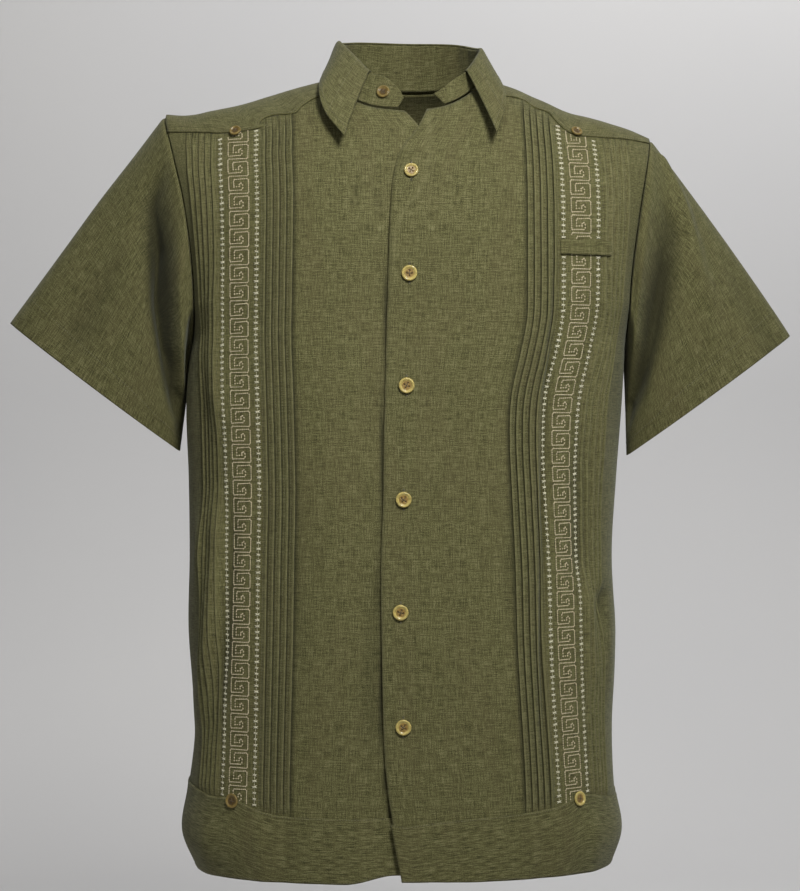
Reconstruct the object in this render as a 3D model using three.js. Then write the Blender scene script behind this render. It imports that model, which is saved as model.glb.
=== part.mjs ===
// A short-sleeved guayabera shirt in its worn, hollow form: two fronts with pin tucks, a back,
// a yoke, two sleeves, a two-piece collar, applied hem bands, a pocket welt and eleven buttons.
// Millimetres, +Z up, -Y is the shirt's front, +X is the wearer's left. The origin is at the
// centre of the neck, at shoulder height.
import * as THREE from "three";

// ---- Driving dimensions ----
const WALL = 1.5; // cloth of the panels
const COLLAR_WALL = 2; // two layers of cloth with interlining
const SEAM_GAP = 0.3;
const ARMHOLE_GAP = 1.4; // room for the yoke's edge
const SIDE_GAP = 0.8; // at the side seams, where the two walls turn towards each other
const LAYER_GAP = 0.6; // between a cloth and the one that lies on it
const LAP = 4; // the yoke and the bands lie over the edges of the panels by this much
const LAP_LIFT = 3; // face of the yoke and the bands above the face of the panels
const TUCK_PITCH = 6.25;
const TUCK_HEIGHT = 1.2;
const TUCK_STEP = 0.9; // width of a tuck's steep side
const TUCKS = 5; // on each side of an embroidered strip
const FIRST_TUCK = 25.8; // from the strip's centre line
const STRIP_HALF = 17.3; // from the strip's centre line to its outer stitch row
const CHEST = -200; // level above which the cloth leans back to the shoulder
const UNDERARM = -245;
const LEAN_POWER = 0.77; // how square the chest turns into the shoulder
const YOKE_BACK = -95; // height of the yoke's seam across the back
const NECK = { half: 72, front: 82, back: 60, frontPower: 3, backPower: 2.2 };
const NAPE_RISE = 14; // the back of the neck stands above the shoulders by this much
const OVERLAP_EDGE = 14; // the under front reaches this far past the centre
const UNDER_CORNER = -1; // where its top corner ends, over the last 19 of its height
const PLACKET_BLEND = 40; // width over which the set-back fades out
const BUTTON_EDGE = 2.6;
const BUTTON_STAND = 1; // a button's underside above the cloth

// ---- Tables: one row for each level of the body, heights in millimetres ----
// right, left: half breadths on the wearer's right and left; front, back: depths from the
// middle plane; cornerRight, cornerLeft: how square the section is; edge: degrees round the
// section at which the cloth ends, 90 at the side seam and less at an armhole.
const BODY = [
  { level: -718, right: 195, left: 191, front: 131, back: 122, cornerRight: 2.7, cornerLeft: 2.3, edge: 90 },
  { level: -686, right: 208, left: 201, front: 131, back: 122, cornerRight: 2.7, cornerLeft: 2.3, edge: 90 },
  { level: -648, right: 203, left: 195, front: 130, back: 121, cornerRight: 2.7, cornerLeft: 2.3, edge: 90 },
  { level: -590, right: 197, left: 193, front: 129, back: 120, cornerRight: 2.7, cornerLeft: 2.2, edge: 90 },
  { level: -500, right: 203, left: 196, front: 128, back: 118, cornerRight: 2.7, cornerLeft: 2.1, edge: 90 },
  { level: -430, right: 202, left: 193, front: 127, back: 117, cornerRight: 2.7, cornerLeft: 2.1, edge: 90 },
  { level: -360, right: 203, left: 197, front: 127, back: 118, cornerRight: 2.7, cornerLeft: 2.1, edge: 90 },
  { level: -290, right: 205, left: 202, front: 126, back: 120, cornerRight: 2.8, cornerLeft: 2.3, edge: 90 },
  { level: -245, right: 201, left: 204, front: 125, back: 121, cornerRight: 2.8, cornerLeft: 2.6, edge: 90 },
  { level: -220, right: 195, left: 204, front: 124, back: 121, cornerRight: 2.8, cornerLeft: 2.7, edge: 78 },
  { level: -195, right: 194, left: 205, front: 123, back: 121, cornerRight: 2.8, cornerLeft: 2.8, edge: 69 },
  { level: -150, right: 201, left: 212, front: 121, back: 119, cornerRight: 2.8, cornerLeft: 2.8, edge: 62 },
  { level: -100, right: 213, left: 220, front: 119, back: 117, cornerRight: 2.8, cornerLeft: 2.8, edge: 60 },
  { level: -50, right: 222, left: 225, front: 118, back: 115, cornerRight: 2.8, cornerLeft: 2.8, edge: 60 },
  { level: 0, right: 224, left: 226, front: 118, back: 115, cornerRight: 2.8, cornerLeft: 2.8, edge: 60 },
];
// Height of the shoulder line at a distance out from the neck's centre.
const SHOULDER = [
  { across: 0, right: 11, left: 11 },
  { across: 72, right: 9.5, left: 9.5 },
  { across: 94, right: 4.8, left: 4.5 },
  { across: 122, right: -3.2, left: -6.7 },
  { across: 148, right: -11.2, left: -19 },
  { across: 178, right: -18.2, left: -27 },
  { across: 205, right: -22, left: -34.5 },
  { across: 226, right: -20.5, left: -43 },
];
// Height of the yoke's front seam, which drops to a point under each yoke button.
const YOKE_SEAM = [
  { across: 60, right: -6, left: -6 },
  { across: 88, right: -15, left: -10 },
  { across: 104, right: -24, left: -12 },
  { across: 117, right: -32.5, left: -21 },
  { across: 129, right: -32, left: -25 },
  { across: 140, right: -36, left: -36 },
  { across: 158, right: -48, left: -48 },
  { across: 176, right: -47, left: -49.5 },
  { across: 200, right: -43, left: -48.5 },
  { across: 226, right: -41, left: -50 },
];
// Height of the hem bands' top seam, which rises to a point at each hem button.
const BAND_SEAM = [
  { across: 0, right: -660, left: -667 },
  { across: 25, right: -660, left: -663.5 },
  { across: 50, right: -660, left: -661 },
  { across: 90, right: -659.5, left: -658 },
  { across: 118, right: -658, left: -656 },
  { across: 140, right: -652, left: -652 },
  { across: 158, right: -645.5, left: -645 },
  { across: 175, right: -646, left: -648 },
  { across: 200, right: -640, left: -656 },
  { across: 210, right: -640, left: -657 },
];
const BAND_SEAM_BACK = -650;
const HEM = { right: -718, left: -716, rise: 7, riseWidth: 45 };
// The upper front's edge, how far the under front lies behind it, and the centre lines of the
// embroidered strips.
const FRONT_LINES = [
  { level: -718, edge: -3.5, setBack: 8, rightStrip: 150, leftStrip: 153 },
  { level: -668, edge: -11.5, setBack: 6.8, rightStrip: 151, leftStrip: 152 },
  { level: -637, edge: -16, setBack: 4.6, rightStrip: 151, leftStrip: 151 },
  { level: -600, edge: -19.5, setBack: 3.2, rightStrip: 150, leftStrip: 149 },
  { level: -520, edge: -21.5, setBack: 2.5, rightStrip: 149, leftStrip: 145 },
  { level: -440, edge: -22.5, setBack: 2.4, rightStrip: 148, leftStrip: 143 },
  { level: -375, edge: -20.5, setBack: 2.4, rightStrip: 147, leftStrip: 140.5 },
  { level: -325, edge: -20, setBack: 2.4, rightStrip: 148, leftStrip: 139 },
  { level: -287, edge: -19, setBack: 2.4, rightStrip: 149, leftStrip: 141 },
  { level: -245, edge: -18, setBack: 2.4, rightStrip: 150, leftStrip: 150 },
  { level: -210, edge: -17, setBack: 2.4, rightStrip: 150, leftStrip: 156 },
  { level: -156, edge: -13.5, setBack: 2.8, rightStrip: 150, leftStrip: 157 },
  { level: -133, edge: -9, setBack: 3, rightStrip: 151, leftStrip: 156.5 },
  { level: -119, edge: -2, setBack: 3.1, rightStrip: 152, leftStrip: 156 },
  { level: -103, edge: 10.5, setBack: 3.2, rightStrip: 152, leftStrip: 155 },
  { level: -83, edge: 19, setBack: 3.2, rightStrip: 153, leftStrip: 154 },
];
// The largest soft folds of the panels: a ridge or trough from one level to another.
const FOLDS = [
  { side: -1, from: -230, to: -520, startAcross: 176, endAcross: 168, width: 16, height: 5 },
  { side: -1, from: -330, to: -640, startAcross: 120, endAcross: 100, width: 26, height: -3 },
  { side: 1, from: -225, to: -500, startAcross: 172, endAcross: 158, width: 15, height: -6 },
  { side: 1, from: -430, to: -640, startAcross: 168, endAcross: 176, width: 13, height: 6 },
];
// Levels round an armhole, from the shoulder point down to the underarm.
const ARMHOLE_LEVELS = [0, -40, -75, -110, -145, -175, -205, -228, UNDERARM];
// Each sleeve's opening: its centre, the half axis to the outer tip, and its half depth.
const CUFF = {
  right: { x: -292, z: -274.5, tipX: -79, tipZ: 59.5, depth: 37 },
  left: { x: 284, z: -282.5, tipX: 76, tipZ: 55.5, depth: 37 },
};
const SLEEVE_STEPS = [0, 0.07, 0.18, 0.32, 0.48, 0.64, 0.8, 0.92, 1];
const SLEEVE_CAP = { right: 0.5, left: 2.5 }; // how far the top of a sleeve is arched
// Folds along a sleeve: a band of the ring's turn, in degrees from the top edge over the front.
const SLEEVE_FOLDS = [
  { turn: 52, width: 15, height: -9, from: 0.02, to: 0.8 },
  { turn: 84, width: 14, height: 5, from: 0.02, to: 0.9 },
  { turn: 132, width: 17, height: 7, from: 0.1, to: 0.95 },
  { turn: 245, width: 20, height: -7, from: 0.05, to: 0.85 },
  { turn: 300, width: 20, height: 5, from: 0.05, to: 0.9 },
];
// The collar: the fold line and the fall's outer edge, at turns from the nape round to the front.
const COLLAR = {
  right: [
    { turn: 0, foldX: 0, foldY: 58, foldZ: 56, edgeX: 0, edgeY: 84, edgeZ: 12 },
    { turn: 40, foldX: 42, foldY: 44, foldZ: 55, edgeX: 54, edgeY: 64, edgeZ: 13 },
    { turn: 75, foldX: 60, foldY: 17, foldZ: 50, edgeX: 71, edgeY: 24, edgeZ: 16 },
    { turn: 100, foldX: 61, foldY: -8, foldZ: 47, edgeX: 75, edgeY: -26, edgeZ: 15 },
    { turn: 125, foldX: 54, foldY: -34, foldZ: 36, edgeX: 77.5, edgeY: -72, edgeZ: -6 },
    { turn: 145, foldX: 43.5, foldY: -52, foldZ: 22.5, edgeX: 70.5, edgeY: -96, edgeZ: -30 },
    { turn: 158, foldX: 32.5, foldY: -63, foldZ: 10.5, edgeX: 54, edgeY: -113, edgeZ: -53 },
  ],
  left: [
    { turn: 0, foldX: 0, foldY: 58, foldZ: 56, edgeX: 0, edgeY: 84, edgeZ: 12 },
    { turn: 40, foldX: 44, foldY: 44, foldZ: 53, edgeX: 57, edgeY: 62, edgeZ: 12 },
    { turn: 75, foldX: 65, foldY: 17, foldZ: 45, edgeX: 77.5, edgeY: 22, edgeZ: 16 },
    { turn: 100, foldX: 69, foldY: -8, foldZ: 40, edgeX: 83.5, edgeY: -28, edgeZ: 11 },
    { turn: 125, foldX: 66, foldY: -30, foldZ: 31, edgeX: 88.5, edgeY: -72, edgeZ: -9 },
    { turn: 145, foldX: 61, foldY: -47, foldZ: 21, edgeX: 86.5, edgeY: -96, edgeZ: -28 },
    { turn: 158, foldX: 54, foldY: -59, foldZ: 11.5, edgeX: 79, edgeY: -114, edgeZ: -50 },
  ],
};
// The stand's top edge past the fall, down to its open end.
const STAND_ENDS = {
  right: [
    { turn: 166, foldX: 20, foldY: -70, foldZ: 6.5 },
    { turn: 173, foldX: 8, foldY: -76, foldZ: -4 },
    { turn: 178, foldX: 2, foldY: -79, foldZ: -14 },
  ],
  left: [
    { turn: 160, foldX: 44, foldY: -66, foldZ: 5 },
    { turn: 163, foldX: 34, foldY: -72, foldZ: -4 },
    { turn: 166, foldX: 25, foldY: -77, foldZ: -10 },
  ],
};
const FALL_GAP = 2.4; // the fall hangs this far outside the stand at the fold
// Buttons: radius, place across the front, height, and the panel they sit on.
const FRONT_BUTTONS = [
  { name: "button_front_1", radius: 6.4, x: 4.5, z: -84 },
  { name: "button_front_2", radius: 7, x: 2.8, z: -176.5 },
  { name: "button_front_3", radius: 7, x: 0.3, z: -276.3 },
  { name: "button_front_4", radius: 7, x: -2.3, z: -377.5 },
  { name: "button_front_5", radius: 7, x: -5, z: -477.5 },
  { name: "button_front_6", radius: 7, x: -2.6, z: -579 },
];
const YOKE_BUTTON = { radius: 5.4, across: 154.5, z: -45 };
const HEM_BUTTON = { radius: 6.6, across: 155, z: -648 };
const STAND_BUTTON = { radius: 6, turn: 168, share: 0.5 };
const POCKET_WELT = { from: -3, to: 50, height: 13, z: -152, thickness: 1.2 };

const CLOTH = new THREE.MeshStandardMaterial({ color: 0x57543a, roughness: 0.9, metalness: 0 });
const HORN = new THREE.MeshStandardMaterial({ color: 0xb9a04a, roughness: 0.4, metalness: 0 });

// ---- Reading the tables ----
// A smooth curve through one column of a table, at a value of its key column.
function lookUp(table, key, at, column) {
  const rising = table[0][key] < table[table.length - 1][key];
  const rows = rising ? table : [...table].reverse();
  const last = rows.length - 1;
  if (at <= rows[0][key]) return rows[0][column];
  if (at >= rows[last][key]) return rows[last][column];
  let i = 0;
  while (rows[i + 1][key] < at) i += 1;
  const slope = (k) => {
    const a = Math.max(0, k - 1);
    const b = Math.min(last, k + 1);
    return (rows[b][column] - rows[a][column]) / (rows[b][key] - rows[a][key]);
  };
  const span = rows[i + 1][key] - rows[i][key];
  const t = (at - rows[i][key]) / span;
  const ease = 3 * t ** 2 - 2 * t ** 3;
  const leave = slope(i) * span * (t ** 3 - 2 * t ** 2 + t);
  const arrive = slope(i + 1) * span * (t ** 3 - t ** 2);
  return rows[i][column] * (1 - ease) + rows[i + 1][column] * ease + leave + arrive;
}

const sideName = (side) => (side < 0 ? "right" : "left");
const radians = (degrees) => (degrees * Math.PI) / 180;
const bump = (t) => (Math.abs(t) < 1 ? Math.cos((t * Math.PI) / 2) ** 2 : 0);
const blend = (a, b, t) => a + (b - a) * t;

// ---- The body's surface ----
// The measures of a section at a level, on one side (-1 the wearer's right, 1 the left).
function sectionAt(side, level, back) {
  const name = sideName(side);
  const corner = lookUp(BODY, "level", level, side < 0 ? "cornerRight" : "cornerLeft");
  return {
    half: lookUp(BODY, "level", level, name),
    depth: lookUp(BODY, "level", level, back ? "back" : "front"),
    power: 2 / corner,
    edge: radians(Math.min(90, lookUp(BODY, "level", level, "edge"))),
  };
}

// Degrees of lean over the shoulder: 0 on the chest, a quarter turn on the shoulder line.
const leanAt = (level) => (level > CHEST ? ((level - CHEST) / -CHEST) * (Math.PI / 2) : 0);

function heightAt(side, across, level, back) {
  if (level <= CHEST) return level;
  const top = lookUp(SHOULDER, "across", across, sideName(side));
  const nape = back && across < NECK.half ? NAPE_RISE * (1 - (across / NECK.half) ** 2) : 0;
  return CHEST + (top + nape - CHEST) * Math.sin(leanAt(level)) ** LEAN_POWER;
}

function levelFor(side, across, height, back) {
  if (height <= CHEST) return height;
  let low = CHEST;
  let high = 0;
  for (let i = 0; i < 30; i += 1) {
    const middle = (low + high) / 2;
    if (heightAt(side, across, middle, back) < height) low = middle;
    else high = middle;
  }
  return low;
}

function foldRelief(side, across, level) {
  let relief = 0;
  for (const fold of FOLDS) {
    if (fold.side !== side) continue;
    const along = (level - fold.from) / (fold.to - fold.from);
    const centre = blend(fold.startAcross, fold.endAcross, along);
    relief += fold.height * bump((across - centre) / fold.width) * bump(2 * along - 1);
  }
  return relief;
}

// A point of the front or back cloth, at a distance across from the centre line.
function bodyPoint(side, across, level, back) {
  const section = sectionAt(side, level, back);
  const whole = section.half / Math.sin(section.edge) ** section.power;
  const turn = Math.asin(Math.min(1, (across / whole) ** (1 / section.power)));
  return turnPoint(side, turn, level, back);
}

// The same point, by its turn round the section.
function turnPoint(side, turn, level, back) {
  const section = sectionAt(side, level, back);
  const whole = section.half / Math.sin(section.edge) ** section.power;
  const across = whole * Math.sin(turn) ** section.power;
  const lean = level > CHEST ? Math.max(0, Math.cos(leanAt(level))) ** LEAN_POWER : 1;
  const depth = section.depth * Math.max(0, Math.cos(turn)) ** section.power * lean;
  const relief = foldRelief(side, across, level);
  const point = new THREE.Vector3(side * across, back ? depth : -depth, 0);
  const outward = new THREE.Vector3(point.x / whole, (point.y * 1.2) / section.depth, 0).normalize();
  point.addScaledVector(outward, relief);
  point.z = heightAt(side, across, level, back);
  return point;
}

// Distances along a section from the centre line to each of many turns, to place the tucks.
function sectionWalk(side, level, back) {
  const edge = sectionAt(side, level, back).edge;
  const walk = [{ turn: 0, length: 0, point: turnPoint(side, 1e-4, level, back) }];
  for (let i = 1; i <= 48; i += 1) {
    const turn = (edge * i) / 48;
    const point = turnPoint(side, turn, level, back);
    walk.push({ turn, length: walk[i - 1].length + point.distanceTo(walk[i - 1].point), point });
  }
  return walk;
}

const lengthToAcross = (walk, across) => {
  const at = walk.findIndex((step) => Math.abs(step.point.x) >= across);
  if (at <= 0) return at === 0 ? across : walk[walk.length - 1].length;
  const [a, b] = [walk[at - 1], walk[at]];
  const share = (across - Math.abs(a.point.x)) / (Math.abs(b.point.x) - Math.abs(a.point.x));
  return blend(a.length, b.length, share);
};

const turnAtLength = (walk, length) => {
  const at = walk.findIndex((step) => step.length >= length);
  if (at < 0) return walk[walk.length - 1].turn;
  if (at === 0) return 1e-4;
  const [a, b] = [walk[at - 1], walk[at]];
  return blend(a.turn, b.turn, (length - a.length) / (b.length - a.length));
};

// ---- The neck seam ----
function neckPlan(turnDegrees) {
  const turn = radians(turnDegrees);
  const back = turnDegrees < 90;
  const power = 2 / (back ? NECK.backPower : NECK.frontPower);
  return {
    across: NECK.half * Math.sin(turn) ** power,
    depth: (back ? NECK.back : NECK.front) * Math.abs(Math.cos(turn)) ** power,
    back,
  };
}

// The level at which a column of cloth at this distance across meets the neck seam.
function neckLevel(side, across, back) {
  const power = back ? NECK.backPower : NECK.frontPower;
  const reach = (1 - Math.min(1, across / NECK.half) ** power) ** (1 / power);
  const depth = (back ? NECK.back : NECK.front) * reach;
  let low = CHEST;
  let high = 0;
  for (let i = 0; i < 30; i += 1) {
    const middle = (low + high) / 2;
    if (Math.abs(bodyPoint(side, across, middle, back).y) > depth) low = middle;
    else high = middle;
  }
  return low;
}

// ---- Closed walls from grids of points ----
// grid[i][j] is a point of the cloth; lift moves the whole wall out and relief(i, j) its face
// alone; has(i, j) says which cells exist; a ring joins its last column to its first; turned
// is -1 where the grid's columns run the other way round.
function wall(grid, options) {
  const { thickness = WALL, lift = 0, ring = false, turned = 1 } = options;
  const { relief = () => 0, has = () => true } = options;
  const rows = grid.length;
  const columns = grid[0].length;
  const next = (j) => (ring ? (j + 1) % columns : j + 1);
  const before = (j) => (ring ? (j + columns - 1) % columns : Math.max(0, j - 1));
  const after = (j) => (ring ? (j + 1) % columns : Math.min(columns - 1, j + 1));
  const face = [];
  const lining = [];
  for (let i = 0; i < rows; i += 1) {
    for (let j = 0; j < columns; j += 1) {
      const along = grid[Math.min(rows - 1, i + 1)][j].clone().sub(grid[Math.max(0, i - 1)][j]);
      const across = grid[i][after(j)].clone().sub(grid[i][before(j)]);
      const normal = along.cross(across).normalize().multiplyScalar(turned);
      face.push(grid[i][j].clone().addScaledVector(normal, lift + relief(i, j)));
      lining.push(grid[i][j].clone().addScaledVector(normal, lift - thickness));
    }
  }
  const points = [...face, ...lining];
  const inner = face.length;
  const index = [];
  const edges = new Map();
  const addEdge = (a, b) => {
    if (edges.has(b + "," + a)) edges.delete(b + "," + a);
    else edges.set(a + "," + b, [a, b]);
  };
  const cellColumns = ring ? columns : columns - 1;
  for (let i = 0; i < rows - 1; i += 1) {
    for (let j = 0; j < cellColumns; j += 1) {
      if (!has(i, j)) continue;
      const a = i * columns + j;
      const b = i * columns + next(j);
      const c = (i + 1) * columns + next(j);
      const d = (i + 1) * columns + j;
      index.push(a, d, c, a, c, b);
      index.push(a + inner, c + inner, d + inner, a + inner, b + inner, c + inner);
      for (const [from, to] of [[a, d], [d, c], [c, b], [b, a]]) addEdge(from, to);
    }
  }
  for (const [from, to] of edges.values()) {
    index.push(from, from + inner, to + inner, from, to + inner, to);
  }
  return solidFrom(points, index);
}

// A geometry with only the points in use, its faces turned out.
function solidFrom(points, index) {
  let volume = 0;
  for (let k = 0; k < index.length; k += 3) {
    const [a, b, c] = [points[index[k]], points[index[k + 1]], points[index[k + 2]]];
    volume += a.dot(b.clone().cross(c)) / 6;
  }
  const used = new Map();
  const positions = [];
  const mapped = index.map((k) => {
    if (!used.has(k)) {
      used.set(k, used.size);
      positions.push(points[k].x, points[k].y, points[k].z);
    }
    return used.get(k);
  });
  if (volume < 0) mapped.reverse();
  const geometry = new THREE.BufferGeometry();
  geometry.setAttribute("position", new THREE.Float32BufferAttribute(positions, 3));
  geometry.setIndex(mapped);
  geometry.computeVertexNormals();
  return geometry;
}

const shirt = new THREE.Group();

function addPiece(name, geometry, material = CLOTH) {
  const mesh = new THREE.Mesh(geometry, material);
  mesh.name = name;
  shirt.add(mesh);
  return mesh;
}

// ---- Fronts ----
// How far the cloth of the under front lies behind the body's surface at the overlap.
function placketShift(side, signedX, level) {
  if (side > 0) return 0;
  const edge = lookUp(FRONT_LINES, "level", level, "edge");
  const past = Math.min(1, Math.max(0, (signedX - edge + PLACKET_BLEND) / PLACKET_BLEND));
  return lookUp(FRONT_LINES, "level", level, "setBack") * past * past * (3 - 2 * past);
}

// The signed X of a front's inner edge at a level.
function innerEdge(side, level) {
  if (side > 0) return lookUp(FRONT_LINES, "level", level, "edge");
  return blend(OVERLAP_EDGE, UNDER_CORNER, Math.min(1, Math.max(0, (level + 104) / 19)));
}

// A front's point from its signed X, which may lie a little past the centre line.
function frontPoint(side, signedX, level) {
  const half = Math.sign(signedX) || side;
  const point = bodyPoint(half, Math.max(0.01, Math.abs(signedX)), level, false);
  return setBehind(point, half, signedX, level, placketShift(side, signedX, level));
}

// Moves a point of the front in, square to the lean of the cloth.
function setBehind(point, half, signedX, level, shift) {
  if (shift === 0) return point;
  const across = Math.max(0.01, Math.abs(signedX));
  const lower = bodyPoint(half, across, level - 3, false);
  const rise = bodyPoint(half, across, Math.min(0, level + 3), false).sub(lower).setX(0).normalize();
  point.y += shift * rise.z;
  point.z -= shift * rise.y;
  return point;
}

// The columns of a front: inner edge, tucks, embroidered strip, tucks, side.
function frontColumns() {
  const columns = [{ plain: 0 }, { plain: 0.35 }, { plain: 0.7 }];
  for (let k = TUCKS - 1; k >= 0; k -= 1) {
    const place = -(FIRST_TUCK + k * TUCK_PITCH);
    columns.push({ place: place - TUCK_STEP, raised: 0 });
    columns.push({ place, raised: 1 });
  }
  columns.push({ place: -STRIP_HALF, raised: 0 }, { place: 0, raised: 0 }, { place: STRIP_HALF, raised: 0 });
  for (let k = 0; k < TUCKS; k += 1) {
    const place = FIRST_TUCK + k * TUCK_PITCH;
    columns.push({ place, raised: 1 });
    columns.push({ place: place + TUCK_STEP, raised: 0 });
  }
  columns.push({ side: 0.5 }, { side: 1 });
  return columns;
}

// The level of a front's top edge: under the yoke by the lap, or at the neck seam.
function frontTop(side, signedX) {
  const across = Math.abs(signedX);
  const half = Math.sign(signedX) || side;
  const seam = levelFor(side, across, lookUp(YOKE_SEAM, "across", across, sideName(side)) + LAP, false);
  return Math.min(seam, across < NECK.half ? neckLevel(half, across, false) : 0) - SEAM_GAP;
}

// The point of one column of a front at a level.
function columnPoint(side, column, level) {
  const walk = sectionWalk(side, level, false);
  const stripX = lookUp(FRONT_LINES, "level", level, side < 0 ? "rightStrip" : "leftStrip");
  const strip = lengthToAcross(walk, stripX);
  const whole = walk[walk.length - 1].length;
  if (column.plain !== undefined) {
    const firstTuck = strip - FIRST_TUCK - (TUCKS - 1) * TUCK_PITCH - TUCK_PITCH;
    const edge = innerEdge(side, level) * side;
    return frontPoint(side, side * blend(edge, firstTuck, column.plain), level);
  }
  const lastTuck = Math.min(whole - 5, strip + FIRST_TUCK + (TUCKS - 1) * TUCK_PITCH + TUCK_STEP);
  const length = column.place === undefined ? blend(lastTuck, whole, column.side) : strip + column.place;
  const squeeze = length > lastTuck && column.place !== undefined ? lastTuck : length;
  const point = turnPoint(side, turnAtLength(walk, Math.min(squeeze, whole)), level, false);
  return setBehind(point, side, point.x, level, placketShift(side, point.x, level));
}

const FRONT_ROWS = [0, 0.02, 0.13, 0.26, 0.4, 0.53, 0.65, 0.74, 0.8, 0.85, 0.9, 0.94, 0.975, 1];

function bandSeam(side, across) {
  return lookUp(BAND_SEAM, "across", across, sideName(side));
}

// The rows of one column run from under the band to under the yoke.
function frontGrid(side) {
  const ends = frontColumns().map((column) => {
    const low = bandSeam(side, Math.abs(columnPoint(side, column, -655).x)) - LAP;
    let top = -60;
    for (let i = 0; i < 3; i += 1) top = frontTop(side, columnPoint(side, column, top).x);
    return { column, low, top };
  });
  return FRONT_ROWS.map((share) =>
    ends.map(({ column, low, top }) => columnPoint(side, column, blend(low, top, share))),
  );
}

function buildFront(side) {
  const columns = frontColumns();
  const lastRow = FRONT_ROWS.length - 1;
  const relief = (i, j) => (columns[j].raised && i > 0 && i < lastRow ? TUCK_HEIGHT : 0);
  addPiece("front_" + sideName(side), wall(frontGrid(side), { relief, turned: -side }));
}

buildFront(-1);
buildFront(1);

// ---- Back ----
const BACK_SHARES = [0, 0.25, 0.45, 0.62, 0.77, 0.89, 1];
const BACK_ROWS = [0, 0.14, 0.3, 0.46, 0.6, 0.7, 0.78, 0.86, 0.93, 1];

function backPoint(signedShare, level) {
  const side = Math.sign(signedShare) || 1;
  const walk = sectionWalk(side, level, true);
  const whole = walk[walk.length - 1].length;
  return turnPoint(side, turnAtLength(walk, Math.abs(signedShare) * whole), level, true);
}

const signedShares = [...BACK_SHARES.slice(1).map((share) => -share).reverse(), ...BACK_SHARES];

function buildBack() {
  const grid = BACK_ROWS.map((share) =>
    signedShares.map((signed) => {
      const side = Math.sign(signed) || 1;
      const across = Math.abs(backPoint(signed, -140).x);
      const top = levelFor(side, across, YOKE_BACK, true) + LAP;
      const point = backPoint(signed, blend(BAND_SEAM_BACK - LAP, top, share));
      if (Math.abs(signed) === 1) point.y += SIDE_GAP;
      return point;
    }),
  );
  addPiece("back", wall(grid, {}));
}

buildBack();

// ---- Yoke ----
// Rows run from the front seam over the shoulder line to the back seam. Between the two
// shoulders the cells before the shoulder line are missing: the neck is there.
const YOKE_OUT = [0, 0.1, 0.21, 0.32, 0.43, 0.54, 0.65, 0.77, 0.88, 1];
const YOKE_NECK = [0, 0.35, 0.7];
const YOKE_FRONT_ROWS = [0, 0.4, 0.75, 1];
const YOKE_BACK_ROWS = [0.25, 0.5, 0.75, 1];

function yokeColumns() {
  const outer = YOKE_OUT.map((share) => ({ side: 1, share }));
  const inner = YOKE_NECK.map((share) => ({ side: 1, neck: share }));
  const half = [...inner, ...outer];
  const mirrored = half.slice(1).map((column) => ({ ...column, side: -1 })).reverse();
  return [...mirrored, ...half];
}

function yokeAcross(column, level, back) {
  if (column.neck !== undefined) return Math.max(0.01, column.neck * NECK.half);
  const edge = lookUp(BODY, "level", level, sideName(column.side));
  if (back) return blend(NECK.half, edge, column.share);
  const depth = Math.abs(bodyPoint(column.side, NECK.half - 4, level, false).y);
  const inside = (1 - Math.min(1, depth / NECK.front) ** NECK.frontPower) ** (1 / NECK.frontPower);
  return blend(NECK.half * inside, edge, column.share);
}

function yokePoint(column, row) {
  const side = column.side;
  if (row < YOKE_FRONT_ROWS.length) {
    if (column.neck !== undefined) {
      const across = yokeAcross(column, 0, true);
      return bodyPoint(side, across, neckLevel(side, across, true), true);
    }
    const guess = yokeAcross(column, -60, false);
    const seam = levelFor(side, guess, lookUp(YOKE_SEAM, "across", guess, sideName(side)), false);
    const level = blend(seam, 0, YOKE_FRONT_ROWS[row]);
    return bodyPoint(side, yokeAcross(column, level, false), level, false);
  }
  const share = YOKE_BACK_ROWS[row - YOKE_FRONT_ROWS.length];
  const startAcross = yokeAcross(column, 0, true);
  const start = column.neck === undefined ? 0 : neckLevel(side, startAcross, true);
  const guess = yokeAcross(column, -140, true);
  const level = blend(start, levelFor(side, guess, YOKE_BACK, true), share);
  return bodyPoint(side, yokeAcross(column, level, true), level, true);
}

function buildYoke() {
  const columns = yokeColumns();
  const rows = YOKE_FRONT_ROWS.length + YOKE_BACK_ROWS.length;
  const grid = Array.from({ length: rows }, (_, i) => columns.map((column) => yokePoint(column, i)));
  const isNeck = (j) => columns[j].neck !== undefined;
  const has = (i, j) => i >= YOKE_FRONT_ROWS.length - 1 || !(isNeck(j) || isNeck(j + 1));
  addPiece("yoke", wall(grid, { has, lift: LAP_LIFT, turned: -1 }));
}

buildYoke();

// ---- Sleeves ----
function armholePoint(side, level, back) {
  const edge = sectionAt(side, level, back).edge;
  const point = turnPoint(side, edge, level, back);
  point.x += side * ARMHOLE_GAP;
  return point;
}

// The points round an armhole from the shoulder point over the front to the underarm and back up.
function armholeRing(side) {
  const front = ARMHOLE_LEVELS.map((level) => armholePoint(side, level, false));
  const back = ARMHOLE_LEVELS.slice(1, -1).reverse().map((level) => armholePoint(side, level, true));
  return [...front, ...back];
}

function cuffPoint(side, turn) {
  const cuff = CUFF[sideName(side)];
  const out = Math.cos(turn);
  return new THREE.Vector3(cuff.x + cuff.tipX * out, -cuff.depth * Math.sin(turn), cuff.z + cuff.tipZ * out);
}

function sleeveRelief(side, turnDegrees, along) {
  const fromTop = Math.min(turnDegrees, 360 - turnDegrees);
  let relief = SLEEVE_CAP[sideName(side)] * bump((fromTop - 10) / 70) * Math.sin(Math.PI * along) ** 0.7;
  for (const fold of SLEEVE_FOLDS) {
    const middle = (2 * (along - fold.from)) / (fold.to - fold.from) - 1;
    relief += fold.height * bump((turnDegrees - fold.turn) / fold.width) * bump(middle);
  }
  return relief;
}

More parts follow.
